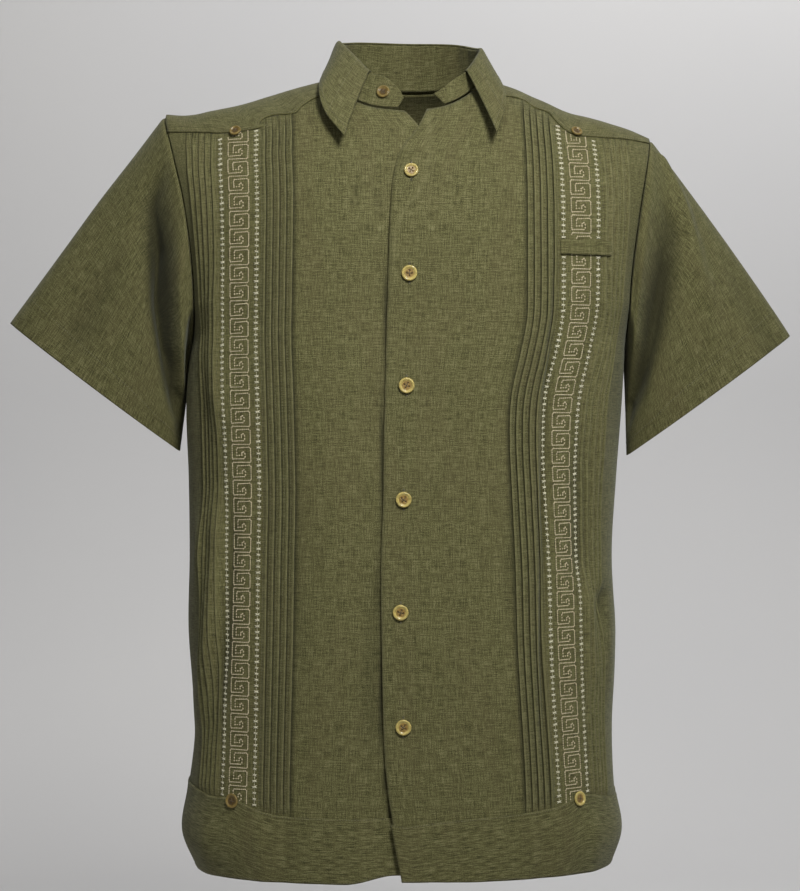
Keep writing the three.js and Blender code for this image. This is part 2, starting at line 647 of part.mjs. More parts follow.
function buildSleeve(side) {
  const ring = armholeRing(side);
  const grid = SLEEVE_STEPS.map((along) =>
    ring.map((start, k) => start.clone().lerp(cuffPoint(side, (2 * Math.PI * k) / ring.length), along)),
  );
  const centre = (i) => grid[i].reduce((sum, p) => sum.add(p), new THREE.Vector3()).divideScalar(ring.length);
  const shaped = grid.map((row, i) => {
    const middle = centre(i);
    return row.map((point, k) => {
      const out = point.clone().sub(middle).normalize();
      return point.clone().addScaledVector(out, sleeveRelief(side, (360 * k) / ring.length, SLEEVE_STEPS[i]));
    });
  });
  if (side > 0) shaped.forEach((row) => row.reverse());
  addPiece("sleeve_" + sideName(side), wall(shaped, { ring: true }));
}

buildSleeve(-1);
buildSleeve(1);

// ---- Collar ----
function collarTable(side, withEnd) {
  const name = sideName(side);
  return withEnd ? [...COLLAR[name], ...STAND_ENDS[name]] : COLLAR[name];
}

const STAND_TURNS = [0, 30, 60, 85, 110, 132, 148, 158];
const NECK_SEAM_TURNS = { right: 178, left: 160 };
const YOKE_END_TURN = 130; // round the neck, the yoke gives way to the fronts here
const STAND_INSET = 0.985; // the stand's foot is this share of the neck seam's size

function neckSeamPoint(side, turn) {
  const plan = neckPlan(turn);
  const level = neckLevel(side, plan.across, plan.back);
  return bodyPoint(side, Math.max(0.01, plan.across), level, plan.back);
}

function foldPoint(side, turn) {
  const table = collarTable(side, true);
  const read = (column) => lookUp(table, "turn", turn, column);
  return new THREE.Vector3(side * read("foldX"), read("foldY"), read("foldZ"));
}

function edgePoint(side, turn) {
  const read = (column) => lookUp(collarTable(side, false), "turn", turn, column);
  return new THREE.Vector3(side * read("edgeX"), read("edgeY"), read("edgeZ"));
}

function standTurns(side) {
  return [...STAND_TURNS, ...STAND_ENDS[sideName(side)].map((row) => row.turn)];
}

// Where the stand's column at a turn meets the neck seam: the turns close up at the open ends.
function standFoot(side, turn) {
  const last = STAND_ENDS[sideName(side)][2].turn;
  const seamTurn = (turn / last) * NECK_SEAM_TURNS[sideName(side)];
  const foot = neckSeamPoint(side, seamTurn);
  foot.x *= STAND_INSET;
  foot.y *= STAND_INSET;
  foot.z += seamTurn < YOKE_END_TURN ? LAP_LIFT + LAYER_GAP : 3 * LAYER_GAP;
  return foot;
}

function bothSides(turnsOf, pointAt) {
  const right = turnsOf(-1).slice(1).reverse().map((turn) => pointAt(-1, turn));
  const left = turnsOf(1).map((turn) => pointAt(1, turn));
  return [...right, ...left];
}

function buildStand() {
  const shares = [0, 0.5, 1];
  const grid = shares.map((share) =>
    bothSides(standTurns, (side, turn) => standFoot(side, turn).lerp(foldPoint(side, turn), share)),
  );
  addPiece("collar_stand", wall(grid, { thickness: COLLAR_WALL }));
}

function buildFall() {
  const shares = [0, 0.12, 0.4, 0.7, 1];
  const turns = () => STAND_TURNS;
  const grid = shares.map((share) =>
    bothSides(turns, (side, turn) => {
      const fold = foldPoint(side, turn);
      const edge = edgePoint(side, turn);
      const out = edge.clone().sub(fold).setZ(0).normalize();
      const point = fold.clone().lerp(edge, share);
      point.addScaledVector(out, (FALL_GAP + COLLAR_WALL) * Math.min(1, 0.55 + share * 2));
      point.z += 1.5 * (1 - share);
      return point;
    }),
  );
  addPiece("collar_fall", wall(grid, { thickness: COLLAR_WALL, turned: -1 }));
}

buildStand();
buildFall();

// ---- Hem bands ----
const BAND_ROWS = [0, 0.5, 1];
const BAND_WALL = 1.3;
const BAND_SHARES = [0, 0.15, 0.3, 0.42, 0.52, 0.6, 0.66, 0.72, 0.8, 0.9, 1];

function hemHeight(side, signedX) {
  const rise = side < 0 ? HEM.rise * bump(Math.max(0, -signedX - 10) / HEM.riseWidth) : 0;
  return HEM[sideName(side)] + rise;
}

function buildFrontBand(side) {
  const grid = BAND_ROWS.map((share) =>
    BAND_SHARES.map((out) => {
      const level = blend(-655, -715, share);
      const walk = sectionWalk(side, level, false);
      const whole = walk[walk.length - 1].length;
      const inner = innerEdge(side, level) * side;
      const length = blend(inner, whole, out);
      const onSection = turnPoint(side, turnAtLength(walk, Math.max(0, length)), level, false);
      const signedX = length > 0 ? onSection.x : side * length;
      const top = bandSeam(side, Math.abs(signedX));
      const height = blend(top, hemHeight(side, signedX), share);
      if (length <= 0) return frontPoint(side, signedX, height);
      const point = turnPoint(side, turnAtLength(walk, length), level, false);
      point.z = height;
      return setBehind(point, side, point.x, height, placketShift(side, point.x, height));
    }),
  );
  const geometry = wall(grid, { thickness: BAND_WALL, lift: LAP_LIFT, turned: side });
  addPiece("hem_band_" + sideName(side), geometry);
}

function buildBackBand() {
  const grid = BAND_ROWS.map((share) =>
    signedShares.map((signed) => {
      const point = backPoint(signed, blend(BAND_SEAM_BACK, -717, share));
      if (Math.abs(signed) === 1) point.y += SIDE_GAP;
      return point;
    }),
  );
  addPiece("hem_band_back", wall(grid, { thickness: BAND_WALL, lift: LAP_LIFT, turned: -1 }));
}

buildFrontBand(-1);
buildFrontBand(1);
buildBackBand();

// ---- Pocket welt ----
function buildWelt() {
  const { from, to, height, z, thickness } = POCKET_WELT;
  const steps = [0, 0.25, 0.5, 0.75, 1];
  const middle = FRONT_LINES[11].leftStrip;
  const grid = [z - height / 2, z + height / 2].map((edge) => {
    const level = levelFor(1, middle, edge, false);
    return steps.map((share) => columnPoint(1, { place: blend(from, to, share) - STRIP_HALF }, level));
  });
  addPiece("pocket_welt", wall(grid, { thickness, lift: TUCK_HEIGHT + LAYER_GAP + thickness, turned: -1 }));
}

buildWelt();

// ---- Buttons ----
function buttonGeometry(radius) {
  const thick = 2.4;
  const profile = [
    [0, 0],
    [radius - 0.8, 0],
    [radius, 0.9],
    [radius - 0.6, thick],
    [radius - 1.8, thick],
    [radius - BUTTON_EDGE, thick - 0.9],
    [0, thick - 0.9],
  ];
  return new THREE.LatheGeometry(profile.map(([x, y]) => new THREE.Vector2(x, y)), 14);
}

// A button on a point of the cloth, its axis along the cloth's normal.
function addButton(name, radius, point, normal, stand) {
  const mesh = addPiece(name, buttonGeometry(radius), HORN);
  mesh.quaternion.setFromUnitVectors(new THREE.Vector3(0, 1, 0), normal);
  mesh.position.copy(point).addScaledVector(normal, stand);
}

// The point and normal of a front at a place given by its X and height.
function frontPlace(side, signedX, height) {
  const half = Math.sign(signedX) || side;
  const at = (x, z) => frontPoint(side, x, levelFor(half, Math.abs(x), z, false));
  const step = 5;
  const across = at(signedX + step, height).sub(at(signedX - step, height));
  const up = at(signedX, height + step).sub(at(signedX, height - step));
  return { point: at(signedX, height), normal: across.cross(up).normalize() };
}

// The point and normal of the stand's open end on the wearer's right, where its button is sewn.
function standPlace({ turn, share }) {
  const at = (t, s) => standFoot(-1, t).lerp(foldPoint(-1, t), s);
  const across = at(turn + 2, share).sub(at(turn - 2, share));
  const up = at(turn, share + 0.1).sub(at(turn, share - 0.1));
  return { point: at(turn, share), normal: across.cross(up).normalize() };
}

const standButton = standPlace(STAND_BUTTON);
addButton("button_stand", STAND_BUTTON.radius, standButton.point, standButton.normal, BUTTON_STAND);
for (const { name, radius, x, z } of FRONT_BUTTONS) {
  const { point, normal } = frontPlace(1, x, z);
  addButton(name, radius, point, normal, BUTTON_STAND);
}
for (const side of [-1, 1]) {
  for (const [kind, spot] of [["yoke", YOKE_BUTTON], ["hem", HEM_BUTTON]]) {
    const { point, normal } = frontPlace(side, side * spot.across, spot.z);
    const name = "button_" + kind + "_" + sideName(side);
    addButton(name, spot.radius, point, normal, LAP_LIFT + BUTTON_STAND);
  }
}

export default shirt;
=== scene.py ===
import math
import bpy
import numpy as np
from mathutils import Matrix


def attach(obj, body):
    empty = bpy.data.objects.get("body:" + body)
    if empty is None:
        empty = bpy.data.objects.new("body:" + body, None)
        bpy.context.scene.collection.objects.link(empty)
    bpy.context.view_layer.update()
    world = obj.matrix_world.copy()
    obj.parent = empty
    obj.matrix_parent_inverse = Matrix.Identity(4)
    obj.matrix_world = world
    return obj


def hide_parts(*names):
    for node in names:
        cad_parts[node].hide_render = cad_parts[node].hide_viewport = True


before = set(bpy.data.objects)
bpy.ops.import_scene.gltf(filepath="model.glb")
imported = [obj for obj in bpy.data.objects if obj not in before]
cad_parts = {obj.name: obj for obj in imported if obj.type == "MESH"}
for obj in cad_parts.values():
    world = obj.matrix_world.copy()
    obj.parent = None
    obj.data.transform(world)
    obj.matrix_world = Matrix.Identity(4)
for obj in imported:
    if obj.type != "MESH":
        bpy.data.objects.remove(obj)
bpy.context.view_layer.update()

# ---- The two fronts ----
# Each front is one panel of olive linen-look cloth. Five pin tucks are sewn on each side of an
# embroidered strip, and the wearer's left front laps over the right one and buttons to it.
# The tables are in millimetres, the meshes in metres. A side is -1 for the wearer's right.

MM = 0.001
SIDES = ((-1, "right"), (1, "left"))
# level, half breadth right and left, depth front and back, corner right and left, edge in degrees
BODY = np.array([
    [-718, 195, 191, 131, 122, 2.7, 2.3, 90],
    [-686, 208, 201, 131, 122, 2.7, 2.3, 90],
    [-648, 203, 195, 130, 121, 2.7, 2.3, 90],
    [-590, 197, 193, 129, 120, 2.7, 2.2, 90],
    [-500, 203, 196, 128, 118, 2.7, 2.1, 90],
    [-430, 202, 193, 127, 117, 2.7, 2.1, 90],
    [-360, 203, 197, 127, 118, 2.7, 2.1, 90],
    [-290, 205, 202, 126, 120, 2.8, 2.3, 90],
    [-245, 201, 204, 125, 121, 2.8, 2.6, 90],
    [-220, 195, 204, 124, 121, 2.8, 2.7, 78],
    [-195, 194, 205, 123, 121, 2.8, 2.8, 69],
    [-150, 201, 212, 121, 119, 2.8, 2.8, 62],
    [-100, 213, 220, 119, 117, 2.8, 2.8, 60],
    [-50, 222, 225, 118, 115, 2.8, 2.8, 60],
    [0, 224, 226, 118, 115, 2.8, 2.8, 60],
])
# distance out, height of the shoulder line right and left
SHOULDER = np.array([
    [0, 11, 11], [72, 9.5, 9.5], [94, 4.8, 4.5], [122, -3.2, -6.7],
    [148, -11.2, -19], [178, -18.2, -27], [205, -22, -34.5], [226, -20.5, -43],
])
# distance out, height of the yoke's front seam right and left
YOKE_SEAM = np.array([
    [60, -6, -6], [88, -15, -10], [104, -24, -12], [117, -32.5, -21], [129, -32, -25],
    [140, -36, -36], [158, -48, -48], [176, -47, -49.5], [200, -43, -48.5], [226, -41, -50],
])
# distance out, height of the hem bands' top seam right and left
BAND_SEAM = np.array([
    [0, -660, -667], [25, -660, -663.5], [50, -660, -661], [90, -659.5, -658],
    [118, -658, -656], [140, -652, -652], [158, -645.5, -645], [175, -646, -648],
    [200, -640, -656], [210, -640, -657],
])
# level, edge of the upper front, set-back of the under front, strip centres right and left
FRONT_LINES = np.array([
    [-718, -3.5, 8, 150, 153], [-668, -11.5, 6.8, 151, 152], [-637, -16, 4.6, 151, 151],
    [-600, -19.5, 3.2, 150, 149], [-520, -21.5, 2.5, 149, 145], [-440, -22.5, 2.4, 148, 143],
    [-375, -20.5, 2.4, 147, 140.5], [-325, -20, 2.4, 148, 139], [-287, -19, 2.4, 149, 141],
    [-245, -18, 2.4, 150, 150], [-210, -17, 2.4, 150, 156], [-156, -13.5, 2.8, 150, 157],
    [-133, -9, 3, 151, 156.5], [-119, -2, 3.1, 152, 156], [-103, 10.5, 3.2, 152, 155],
    [-83, 19, 3.2, 153, 154],
])
CHEST = -200.0
LEAN_POWER = 0.77
NECK_HALF, NECK_FRONT, NECK_BACK = 72.0, 82.0, 60.0
NECK_FRONT_POWER, NECK_BACK_POWER = 3.0, 2.2
NAPE_RISE = 14.0
# the under front's edge, signed X, its top corner's, and the corner's foot and height
UNDER_EDGE, UNDER_CORNER, CORNER_FOOT, CORNER_HEIGHT = 14.0, -1.0, -104.0, 19.0
PLACKET_BLEND = 40.0
LAP = 4.0
PANEL_CLOTH = 0.7
# A pin tuck seen from the end: distance past its folded edge, and height over the panel.
TUCK_PROFILE = [
    (-4.9, 0.0), (-3.7, 0.35), (-2.3, 0.95), (-1.3, 1.5), (-0.6, 1.75), (-0.1, 1.72),
    (0.2, 1.45), (0.22, 1.0), (-0.15, 0.5), (-0.45, 0.1), (-0.3, -0.35), (0.2, -0.55), (0.9, -0.2),
]
TUCK_PITCH, FIRST_TUCK, TUCKS = 6.25, 25.8, 5
# Creases of each front: rows of place across, height, half width and rise, from end to end.
FRONT_CREASES = {
    -1: [
        [(-171, -150, 6, 0), (-172, -215, 8, 3.5), (-171, -280, 8, 4), (-168, -330, 7, 0)],
        [(-186, -235, 8, 0), (-184, -300, 10, -4), (-183, -360, 10, -3), (-186, -410, 9, 0)],
        [(-172, -360, 7, 0), (-169, -420, 8, 5), (-176, -500, 8, 6), (-187, -562, 8, 3), (-192, -600, 7, 0)],
        [(-158, -350, 7, 0), (-160, -430, 8, -4), (-165, -510, 8, -5), (-173, -575, 7, -2),
         (-176, -610, 7, 0)],
        [(-190, -380, 6, 0), (-188, -430, 6, 4), (-192, -480, 6, 0)],
        [(-60, -150, 18, 0), (-72, -260, 22, 2), (-64, -400, 24, 2.4), (-74, -560, 20, 0)],
        [(-100, -200, 14, 0), (-104, -330, 16, -1.6), (-98, -470, 16, -1.8), (-104, -620, 14, 0)],
        [(-34, -420, 9, 0), (-30, -470, 10, -1.6), (-31, -560, 10, -2.2), (-36, -640, 9, 0)],
        [(-30, -96, 4, 0), (-26, -112, 4, -2.2), (-22, -128, 4, 0)],
        [(-40, -88, 4, 0), (-44, -104, 4, -1.6), (-50, -122, 5, 0)],
    ],
    1: [
        [(136, -90, 3, 0), (135, -150, 3, -1.2), (133.5, -210, 3.2, -2.8), (129.5, -246, 3.4, -3.6),
         (125, -290, 3.4, -4), (122.8, -378, 3.4, -4), (123.6, -432, 3.2, -3.2),
         (121.5, -512, 3.2, -3.2), (122.2, -557, 3, -2.4), (125, -637, 3, 0)],
        [(178, -150, 9, 0), (181, -230, 10, 3), (176, -320, 10, 4), (171, -400, 9, 0)],
        [(163, -300, 8, 0), (158, -360, 9, -3.5), (159, -430, 9, -4), (168, -480, 8, 0)],
        [(162, -430, 6, 0), (165, -470, 6, 3.6), (169, -530, 6, 3), (172, -570, 6, 0)],
        [(184, -452, 7, 0), (179, -473, 6, -6.5), (176, -500, 6, -2), (176, -530, 6, 0)],
        [(190, -470, 6, 0), (186, -520, 7, 3), (188, -590, 7, 0)],
        [(60, -160, 20, 0), (66, -280, 22, 2), (60, -420, 24, 2.2), (70, -600, 20, 0)],
        [(96, -180, 10, 0), (98, -300, 12, -1.6), (94, -430, 12, -2), (97, -560, 10, 0)],
        [(20, -440, 14, 0), (24, -520, 16, 1.5), (18, -610, 14, 0)],
    ],
}


def look_up(table, at, column):
    """A smooth curve through one column of a table, at values of its first column."""
    keys, values = table[:, 0], table[:, column]
    at = np.clip(at, keys[0], keys[-1])
    i = np.clip(np.searchsorted(keys, at) - 1, 0, len(keys) - 2)
    slopes = np.empty(len(keys))
    slopes[1:-1] = (values[2:] - values[:-2]) / (keys[2:] - keys[:-2])
    slopes[0] = (values[1] - values[0]) / (keys[1] - keys[0])
    slopes[-1] = (values[-1] - values[-2]) / (keys[-1] - keys[-2])
    span = keys[i + 1] - keys[i]
    t = (at - keys[i]) / span
    start = values[i] * (2 * t**3 - 3 * t**2 + 1) + slopes[i] * span * (t**3 - 2 * t**2 + t)
    return start + values[i + 1] * (3 * t**2 - 2 * t**3) + slopes[i + 1] * span * (t**3 - t**2)


def by_side(side, table, at, right):
    return np.where(np.asarray(side) < 0, look_up(table, at, right), look_up(table, at, right + 1))


def soft_step(t):
    t = np.clip(t, 0, 1)
    return t * t * (3 - 2 * t)


def section_at(side, level, back):
    power = 2 / by_side(side, BODY, level, 5)
    edge = np.radians(np.minimum(90, look_up(BODY, level, 7)))
    whole = by_side(side, BODY, level, 1) / np.sin(edge) ** power
    return whole, look_up(BODY, level, 4 if back else 3), power, edge


def lean_at(level):
    return np.clip((level - CHEST) / -CHEST, 0, 1) * math.pi / 2


def height_at(side, across, level, back):
    top = by_side(side, SHOULDER, across, 1)
    if back:
        top = top + NAPE_RISE * np.clip(1 - (across / NECK_HALF) ** 2, 0, 1)
    return np.where(level <= CHEST, level, CHEST + (top - CHEST) * np.sin(lean_at(level)) ** LEAN_POWER)


def level_for(side, across, height, back):
    """The level at which the cloth is at a height."""
    low, high = np.full(np.shape(height + across), CHEST), np.zeros(np.shape(height + across))
    for _ in range(30):
        middle = (low + high) / 2
        under = height_at(side, across, middle, back) < height
        low, high = np.where(under, middle, low), np.where(under, high, middle)
    return np.where(height <= CHEST, height, low)


def turn_point(side, turn, level, back):
    """A point of the body's cloth by its turn round the section: the last axis is x, y, z."""
    whole, depth, power, _ = section_at(side, level, back)
    across = whole * np.sin(turn) ** power
    lean = np.cos(lean_at(level)).clip(0) ** LEAN_POWER
    y = depth * np.cos(turn).clip(0) ** power * lean * (1 if back else -1)
    return np.stack(np.broadcast_arrays(side * across, y, height_at(side, across, level, back)), -1)


def body_point(side, across, level, back):
    whole, _, power, _ = section_at(side, level, back)
    turn = np.arcsin(np.clip((across / whole) ** (1 / power), 0, 1))
    return turn_point(side, turn, level, back)


WALK_LEVELS = np.linspace(-730, 0, 366)
WALK_SHARES = np.linspace(0, 1, 161)


def walk_tables(side, back):
    """Lengths round the sections at many levels: the whole, the turns, and the places across."""
    levels = WALK_LEVELS[:, None]
    turn = section_at(side, levels, back)[3] * np.linspace(1e-4, 1, 121)
    points = turn_point(side, turn, levels, back)
    steps = np.linalg.norm(np.diff(points, axis=1), axis=2)
    length = np.concatenate([np.zeros((len(levels), 1)), np.cumsum(steps, 1)], 1)
    turns = np.array([np.interp(WALK_SHARES * row[-1], row, t) for row, t in zip(length, turn)])
    return {"whole": length[:, -1], "turns": turns, "length": length, "across": abs(points[..., 0])}


WALKS = {(side, back): walk_tables(side, back) for side in (-1, 1) for back in (False, True)}


def whole_length(side, level, back):
    return np.interp(level, WALK_LEVELS, WALKS[side, back]["whole"])


def turn_at(side, back, length, level):
    share = np.clip(length / whole_length(side, level, back), 0, 1) * (len(WALK_SHARES) - 1)
    row = np.clip((level - WALK_LEVELS[0]) / (WALK_LEVELS[1] - WALK_LEVELS[0]), 0, len(WALK_LEVELS) - 1)
    i = np.minimum(row.astype(int), len(WALK_LEVELS) - 2)
    j = np.minimum(share.astype(int), len(WALK_SHARES) - 2)
    s, t, turns = row - i, share - j, WALKS[side, back]["turns"]
    low = turns[i, j] * (1 - t) + turns[i, j + 1] * t
    return low * (1 - s) + (turns[i + 1, j] * (1 - t) + turns[i + 1, j + 1] * t) * s


def strip_lengths(side):
    """The length from the centre line to the strip's centre, at each level of the walks."""
    walk = WALKS[side, False]
    across = look_up(FRONT_LINES, WALK_LEVELS, 3 if side < 0 else 4)
    return np.array([np.interp(x, a, b) for x, a, b in zip(across, walk["across"], walk["length"])])


STRIP_LENGTHS = {side: strip_lengths(side) for side in (-1, 1)}


def neck_level(side, across, back):
    """The level at which the cloth meets the neck seam."""
    power = NECK_BACK_POWER if back else NECK_FRONT_POWER
    reach = (1 - np.clip(across / NECK_HALF, 0, 1) ** power) ** (1 / power)
    depth = (NECK_BACK if back else NECK_FRONT) * reach
    low, high = np.full(np.shape(depth), CHEST), np.zeros(np.shape(depth))
    for _ in range(30):
        middle = (low + high) / 2
        outside = abs(body_point(side, across, middle, back)[..., 1]) > depth
        low, high = np.where(outside, middle, low), np.where(outside, high, middle)
    return low


def inner_edge(side, level):
    """Signed X of a front's inner edge."""
    if side > 0:
        return look_up(FRONT_LINES, level, 1)
    share = np.clip((level - CORNER_FOOT) / CORNER_HEIGHT, 0, 1)
    return UNDER_EDGE + share * (UNDER_CORNER - UNDER_EDGE)


def set_behind(point, half, level):
    """Moves the under front in behind the upper one, square to the lean of the cloth."""
    x = point[..., 0]
    past = soft_step((x - look_up(FRONT_LINES, level, 1) + PLACKET_BLEND) / PLACKET_BLEND)
    shift = look_up(FRONT_LINES, level, 2) * past
    across = abs(x).clip(0.01)
    above = body_point(half, across, np.minimum(0, level + 3), False)
    rise = unit((above - body_point(half, across, level - 3, False))[..., 1:])
    point = point.copy()
    point[..., 1] += shift * rise[..., 1]
    point[..., 2] -= shift * rise[..., 0]
    return point


def front_spot(side, length, level):
    """A point of a front by its length from the centre line, negative past it."""
    own = turn_point(side, turn_at(side, False, np.maximum(length, 0.01), level), level, False)
    other = body_point(-side, np.maximum(-length, 0.01), level, False)
    past = length < 0
    point = np.where(past[..., None], other, own)
    return set_behind(point, np.where(past, -side, side), level) if side < 0 else point


def crease_height(creases, x, z):
    """The rise of all creases at places across and heights."""
    total = np.zeros(np.shape(x))
    for rows in creases:
        rows = np.array(rows, float)
        near, rise = np.full(total.shape, np.inf), np.zeros(total.shape)
        for a, b in zip(rows[:-1], rows[1:]):
            way = b[:2] - a[:2]
            t = np.clip(((x - a[0]) * way[0] + (z - a[1]) * way[1]) / (way @ way), 0, 1)
            far = np.hypot(x - a[0] - t * way[0], z - a[1] - t * way[1]) / (a[2] + t * (b[2] - a[2]))
            closer = far < near
            ease = t * t * (3 - 2 * t)
            rise = np.where(closer, a[3] + ease * (b[3] - a[3]), rise)
            near = np.where(closer, far, near)
        total += rise * np.exp(-(near**2))
    return total


def unit(vectors):
    return vectors / np.linalg.norm(vectors, axis=-1, keepdims=True).clip(1e-9)


def front_columns():
    """Kind, place and height of each column: plain, tucks and strip, side."""
    tucks = [(FIRST_TUCK + k * TUCK_PITCH + s, h) for k in range(TUCKS) for s, h in TUCK_PROFILE]
    strip = [(c, 0.0) for c in np.linspace(-19.5, 19.5, 14)]
    fixed = [(-c, h) for c, h in reversed(tucks)] + strip + tucks
    plain = [("plain", share, 0.0) for share in np.linspace(0, 1, 30)[:-1]]
    side = [("side", share, 0.0) for share in np.linspace(0, 1, 27)[1:]]
    return plain + [("fixed", c, h) for c, h in fixed] + side


FRONT_ROWS = 210


def build_front(side):
    columns = front_columns()
    kind = np.array([c[0] for c in columns])
    place = np.array([c[1] for c in columns], float)
    height = np.array([c[2] for c in columns], float)
    reach = max(abs(place[kind == "fixed"]))

    def lengths(level):
        strip = np.interp(level, WALK_LEVELS, STRIP_LENGTHS[side])
        whole = whole_length(side, level, False)
        edge = inner_edge(side, level) * side
        last = np.minimum(whole, strip + reach)
        plain = edge + (strip - reach - edge) * place
        outer = last + (whole - last) * place
        length = np.where(kind == "plain", plain, np.where(kind == "fixed", strip + place, outer))
        return np.minimum(length, whole), whole, length >= whole - 1e-6

    def signed_x(level):
        return front_spot(side, lengths(level)[0], level)[..., 0]

    across = abs(signed_x(np.full(len(columns), -655.0)))
    low = by_side(side, BAND_SEAM, across, 1) - LAP
    top_level = np.full(len(columns), -60.0)
    for _ in range(4):
        x = signed_x(top_level)
        half = np.where(x < 0, -1, 1)
        seam = level_for(side, abs(x), by_side(side, YOKE_SEAM, abs(x), 1) + LAP, False)
        neck = np.where(abs(x) < NECK_HALF, neck_level(half, abs(x), False), 0)
        top_level = np.minimum(seam, neck) - 0.3
    top = height_at(side, abs(x), top_level, False)
    share = np.linspace(0, 1, FRONT_ROWS)[:, None]
    z = low + (top - low) * share
    level = z.copy()
    for _ in range(3):
        length, whole, clamped = lengths(level)
        across = abs(front_spot(side, length, level)[..., 0])
        level = level_for(side, across, z, False)
    length, whole, clamped = lengths(level)
    point = front_spot(side, length, level)
    further = front_spot(side, np.minimum(length + 0.6, whole), level)
    wide = further - front_spot(side, np.minimum(length, whole - 0.6) - 0.6, level)
    tall = front_spot(side, length, np.minimum(level + 1.5, -0.5)) - front_spot(side, length, level - 1.5)
    out = unit(np.cross(wide, tall) * side)
    fade = soft_step((whole - length) / 7) * soft_step(share / 0.02) * soft_step((1 - share) / 0.035)
    rise = crease_height(FRONT_CREASES[side], point[..., 0], point[..., 2])
    rise = rise * soft_step(share / 0.06) * soft_step((1 - share) / 0.05)
    rise = rise * soft_step((whole - length) / 12)
    point = point + out * (height * fade + rise)[..., None]
    return {"point": point, "out": out, "kind": kind, "place": place, "height": height * fade,
            "z": z, "rise": rise, "low": low, "top": top, "clamped": clamped}


FRONTS = {side: build_front(side) for side in (-1, 1)}


def front_at(side, column, z):
    """A place and its outward direction on a finished front, by column number and height."""
    front = FRONTS[side]
    last = len(front["place"]) - 1
    column = np.clip(column, 0, last)
    j = np.minimum(column.astype(int), last - 1)
    t = (column - j)[:, None]
    rows = front["point"].shape[0] - 1

    def read(k):
        row = np.clip((z - front["low"][k]) / (front["top"][k] - front["low"][k]), 0, 1) * rows
        i = np.minimum(row.astype(int), rows - 1)
        s = (row - i)[:, None]
        return [grid[i, k] * (1 - s) + grid[i + 1, k] * s for grid in (front["point"], front["out"])]

    (p, n), (q, m) = read(j), read(j + 1)
    return p * (1 - t) + q * t, unit(n * (1 - t) + m * t)


def column_at(side, place):
    """The column number of a place out from the strip's centre line."""
    front = FRONTS[side]
    numbers = np.flatnonzero(front["kind"] == "fixed")
    steady = np.maximum.accumulate(front["place"][numbers] + 1e-6 * np.arange(len(numbers)))
    return np.interp(place, steady, numbers)


def new_piece(name, mesh, material):
    piece = bpy.data.objects.new(name, mesh)
    bpy.context.scene.collection.objects.link(piece)
    mesh.materials.append(material)
    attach(piece, "root")
    return piece


def cloth_piece(name, grid, material, thickness, cut=None, keep=None, ring=False, wear_and_light_marks=None):
    """A shell of cloth from rows and columns of points in millimetres, with its cut as its UV map.
    The last argument holds 1 where the cloth is made paler: worn pale on folded tuck edges, and a painted
    highlight along the upper front's lapping edge. It holds -1 where shade is painted in: under a fold, in
    the troughs of creases, and a painted shadow beside that edge."""
    rows, columns = grid.shape[:2]
    number = np.arange(rows * columns).reshape(rows, columns)
    nxt = np.roll(number, -1, 1) if ring else number[:, 1:]
    own = number if ring else number[:, :-1]
    faces = np.stack([own[:-1], nxt[:-1], nxt[1:], own[1:]], -1).reshape(-1, 4)
    if keep is not None:
        faces = faces[keep.reshape(-1)]
    points = grid.reshape(-1, 3)
    middle = points[faces].mean(1)
    normal = np.cross(points[faces[:, 2]] - points[faces[:, 0]], points[faces[:, 3]] - points[faces[:, 1]])
    if ring:
        inside = np.repeat(grid.mean(1), columns, 0)[faces[:, 0]]
    else:
        inside = middle * [0.6, 0, 1] - [0, 0, 60]
    if (normal * (middle - inside)).sum() < 0:
        faces = faces[:, ::-1]
    used, faces = np.unique(faces, return_inverse=True)
    faces = faces.reshape(-1, 4)
    if cut is None:
        wide = np.linalg.norm(np.diff(grid, axis=1), axis=2).mean(0)
        tall = np.linalg.norm(np.diff(grid, axis=0), axis=2)
        u = np.concatenate([[0], np.cumsum(wide)])[None, :].repeat(rows, 0)
        v = np.concatenate([np.zeros((1, columns)), np.cumsum(tall, 0)])
        cut = np.stack([u, v], -1)
    mesh = bpy.data.meshes.new(name)
    mesh.from_pydata((points[used] * MM).tolist(), [], faces.tolist())
    mesh.polygons.foreach_set("use_smooth", np.ones(len(faces), bool))
    layer = mesh.uv_layers.new(name="cut")
    corners = cut.reshape(-1, 2)[used][faces.reshape(-1)] * MM
    layer.data.foreach_set("uv", corners.astype(np.float32).reshape(-1))
    # An attribute holds the paler tuck edges, a painted highlight and a painted shadow beside the upper
    # front's edge, and painted shade in folds and creases.
    wear_and_painted_light = mesh.attributes.new("wear_and_painted_light", "FLOAT", "POINT")
    values = np.zeros(len(used)) if wear_and_light_marks is None else wear_and_light_marks.reshape(-1)[used]
    wear_and_painted_light.data.foreach_set("value", values.astype(np.float32))
    mesh.validate()
    piece = new_piece(name, mesh, material)
    shell = piece.modifiers.new("Thickness", "SOLIDIFY")
    shell.thickness = thickness * MM
    shell.offset = -1
    return piece


def add_node(tree, kind, settings=None, **inputs):
    """A new node with its settings, and each input joined to a socket or set to a value."""
    node = tree.nodes.new(kind)
    for name, value in (settings or {}).items():
        setattr(node, name, value)
    for name, value in inputs.items():
        key = int(name[1:]) if name[0] == "i" and name[1:].isdigit() else name.replace("_", " ")
        target = node.inputs[key]
        if isinstance(value, bpy.types.NodeSocket):
            tree.links.new(value, target)
        else:
            target.default_value = value
    return node


def mixed_colour(tree, share, first, second):
    mix = add_node(tree, "ShaderNodeMix", {"data_type": "RGBA"}, Factor=share, i6=first, i7=second)
    return mix.outputs[2]


def ranged(tree, value, low, high, to_low=0.0, to_high=1.0):
    """A value carried from one range to another, held within it."""
    return add_node(tree, "ShaderNodeMapRange", {}, Value=value, From_Min=low, From_Max=high,
                    To_Min=to_low, To_Max=to_high).outputs[0]


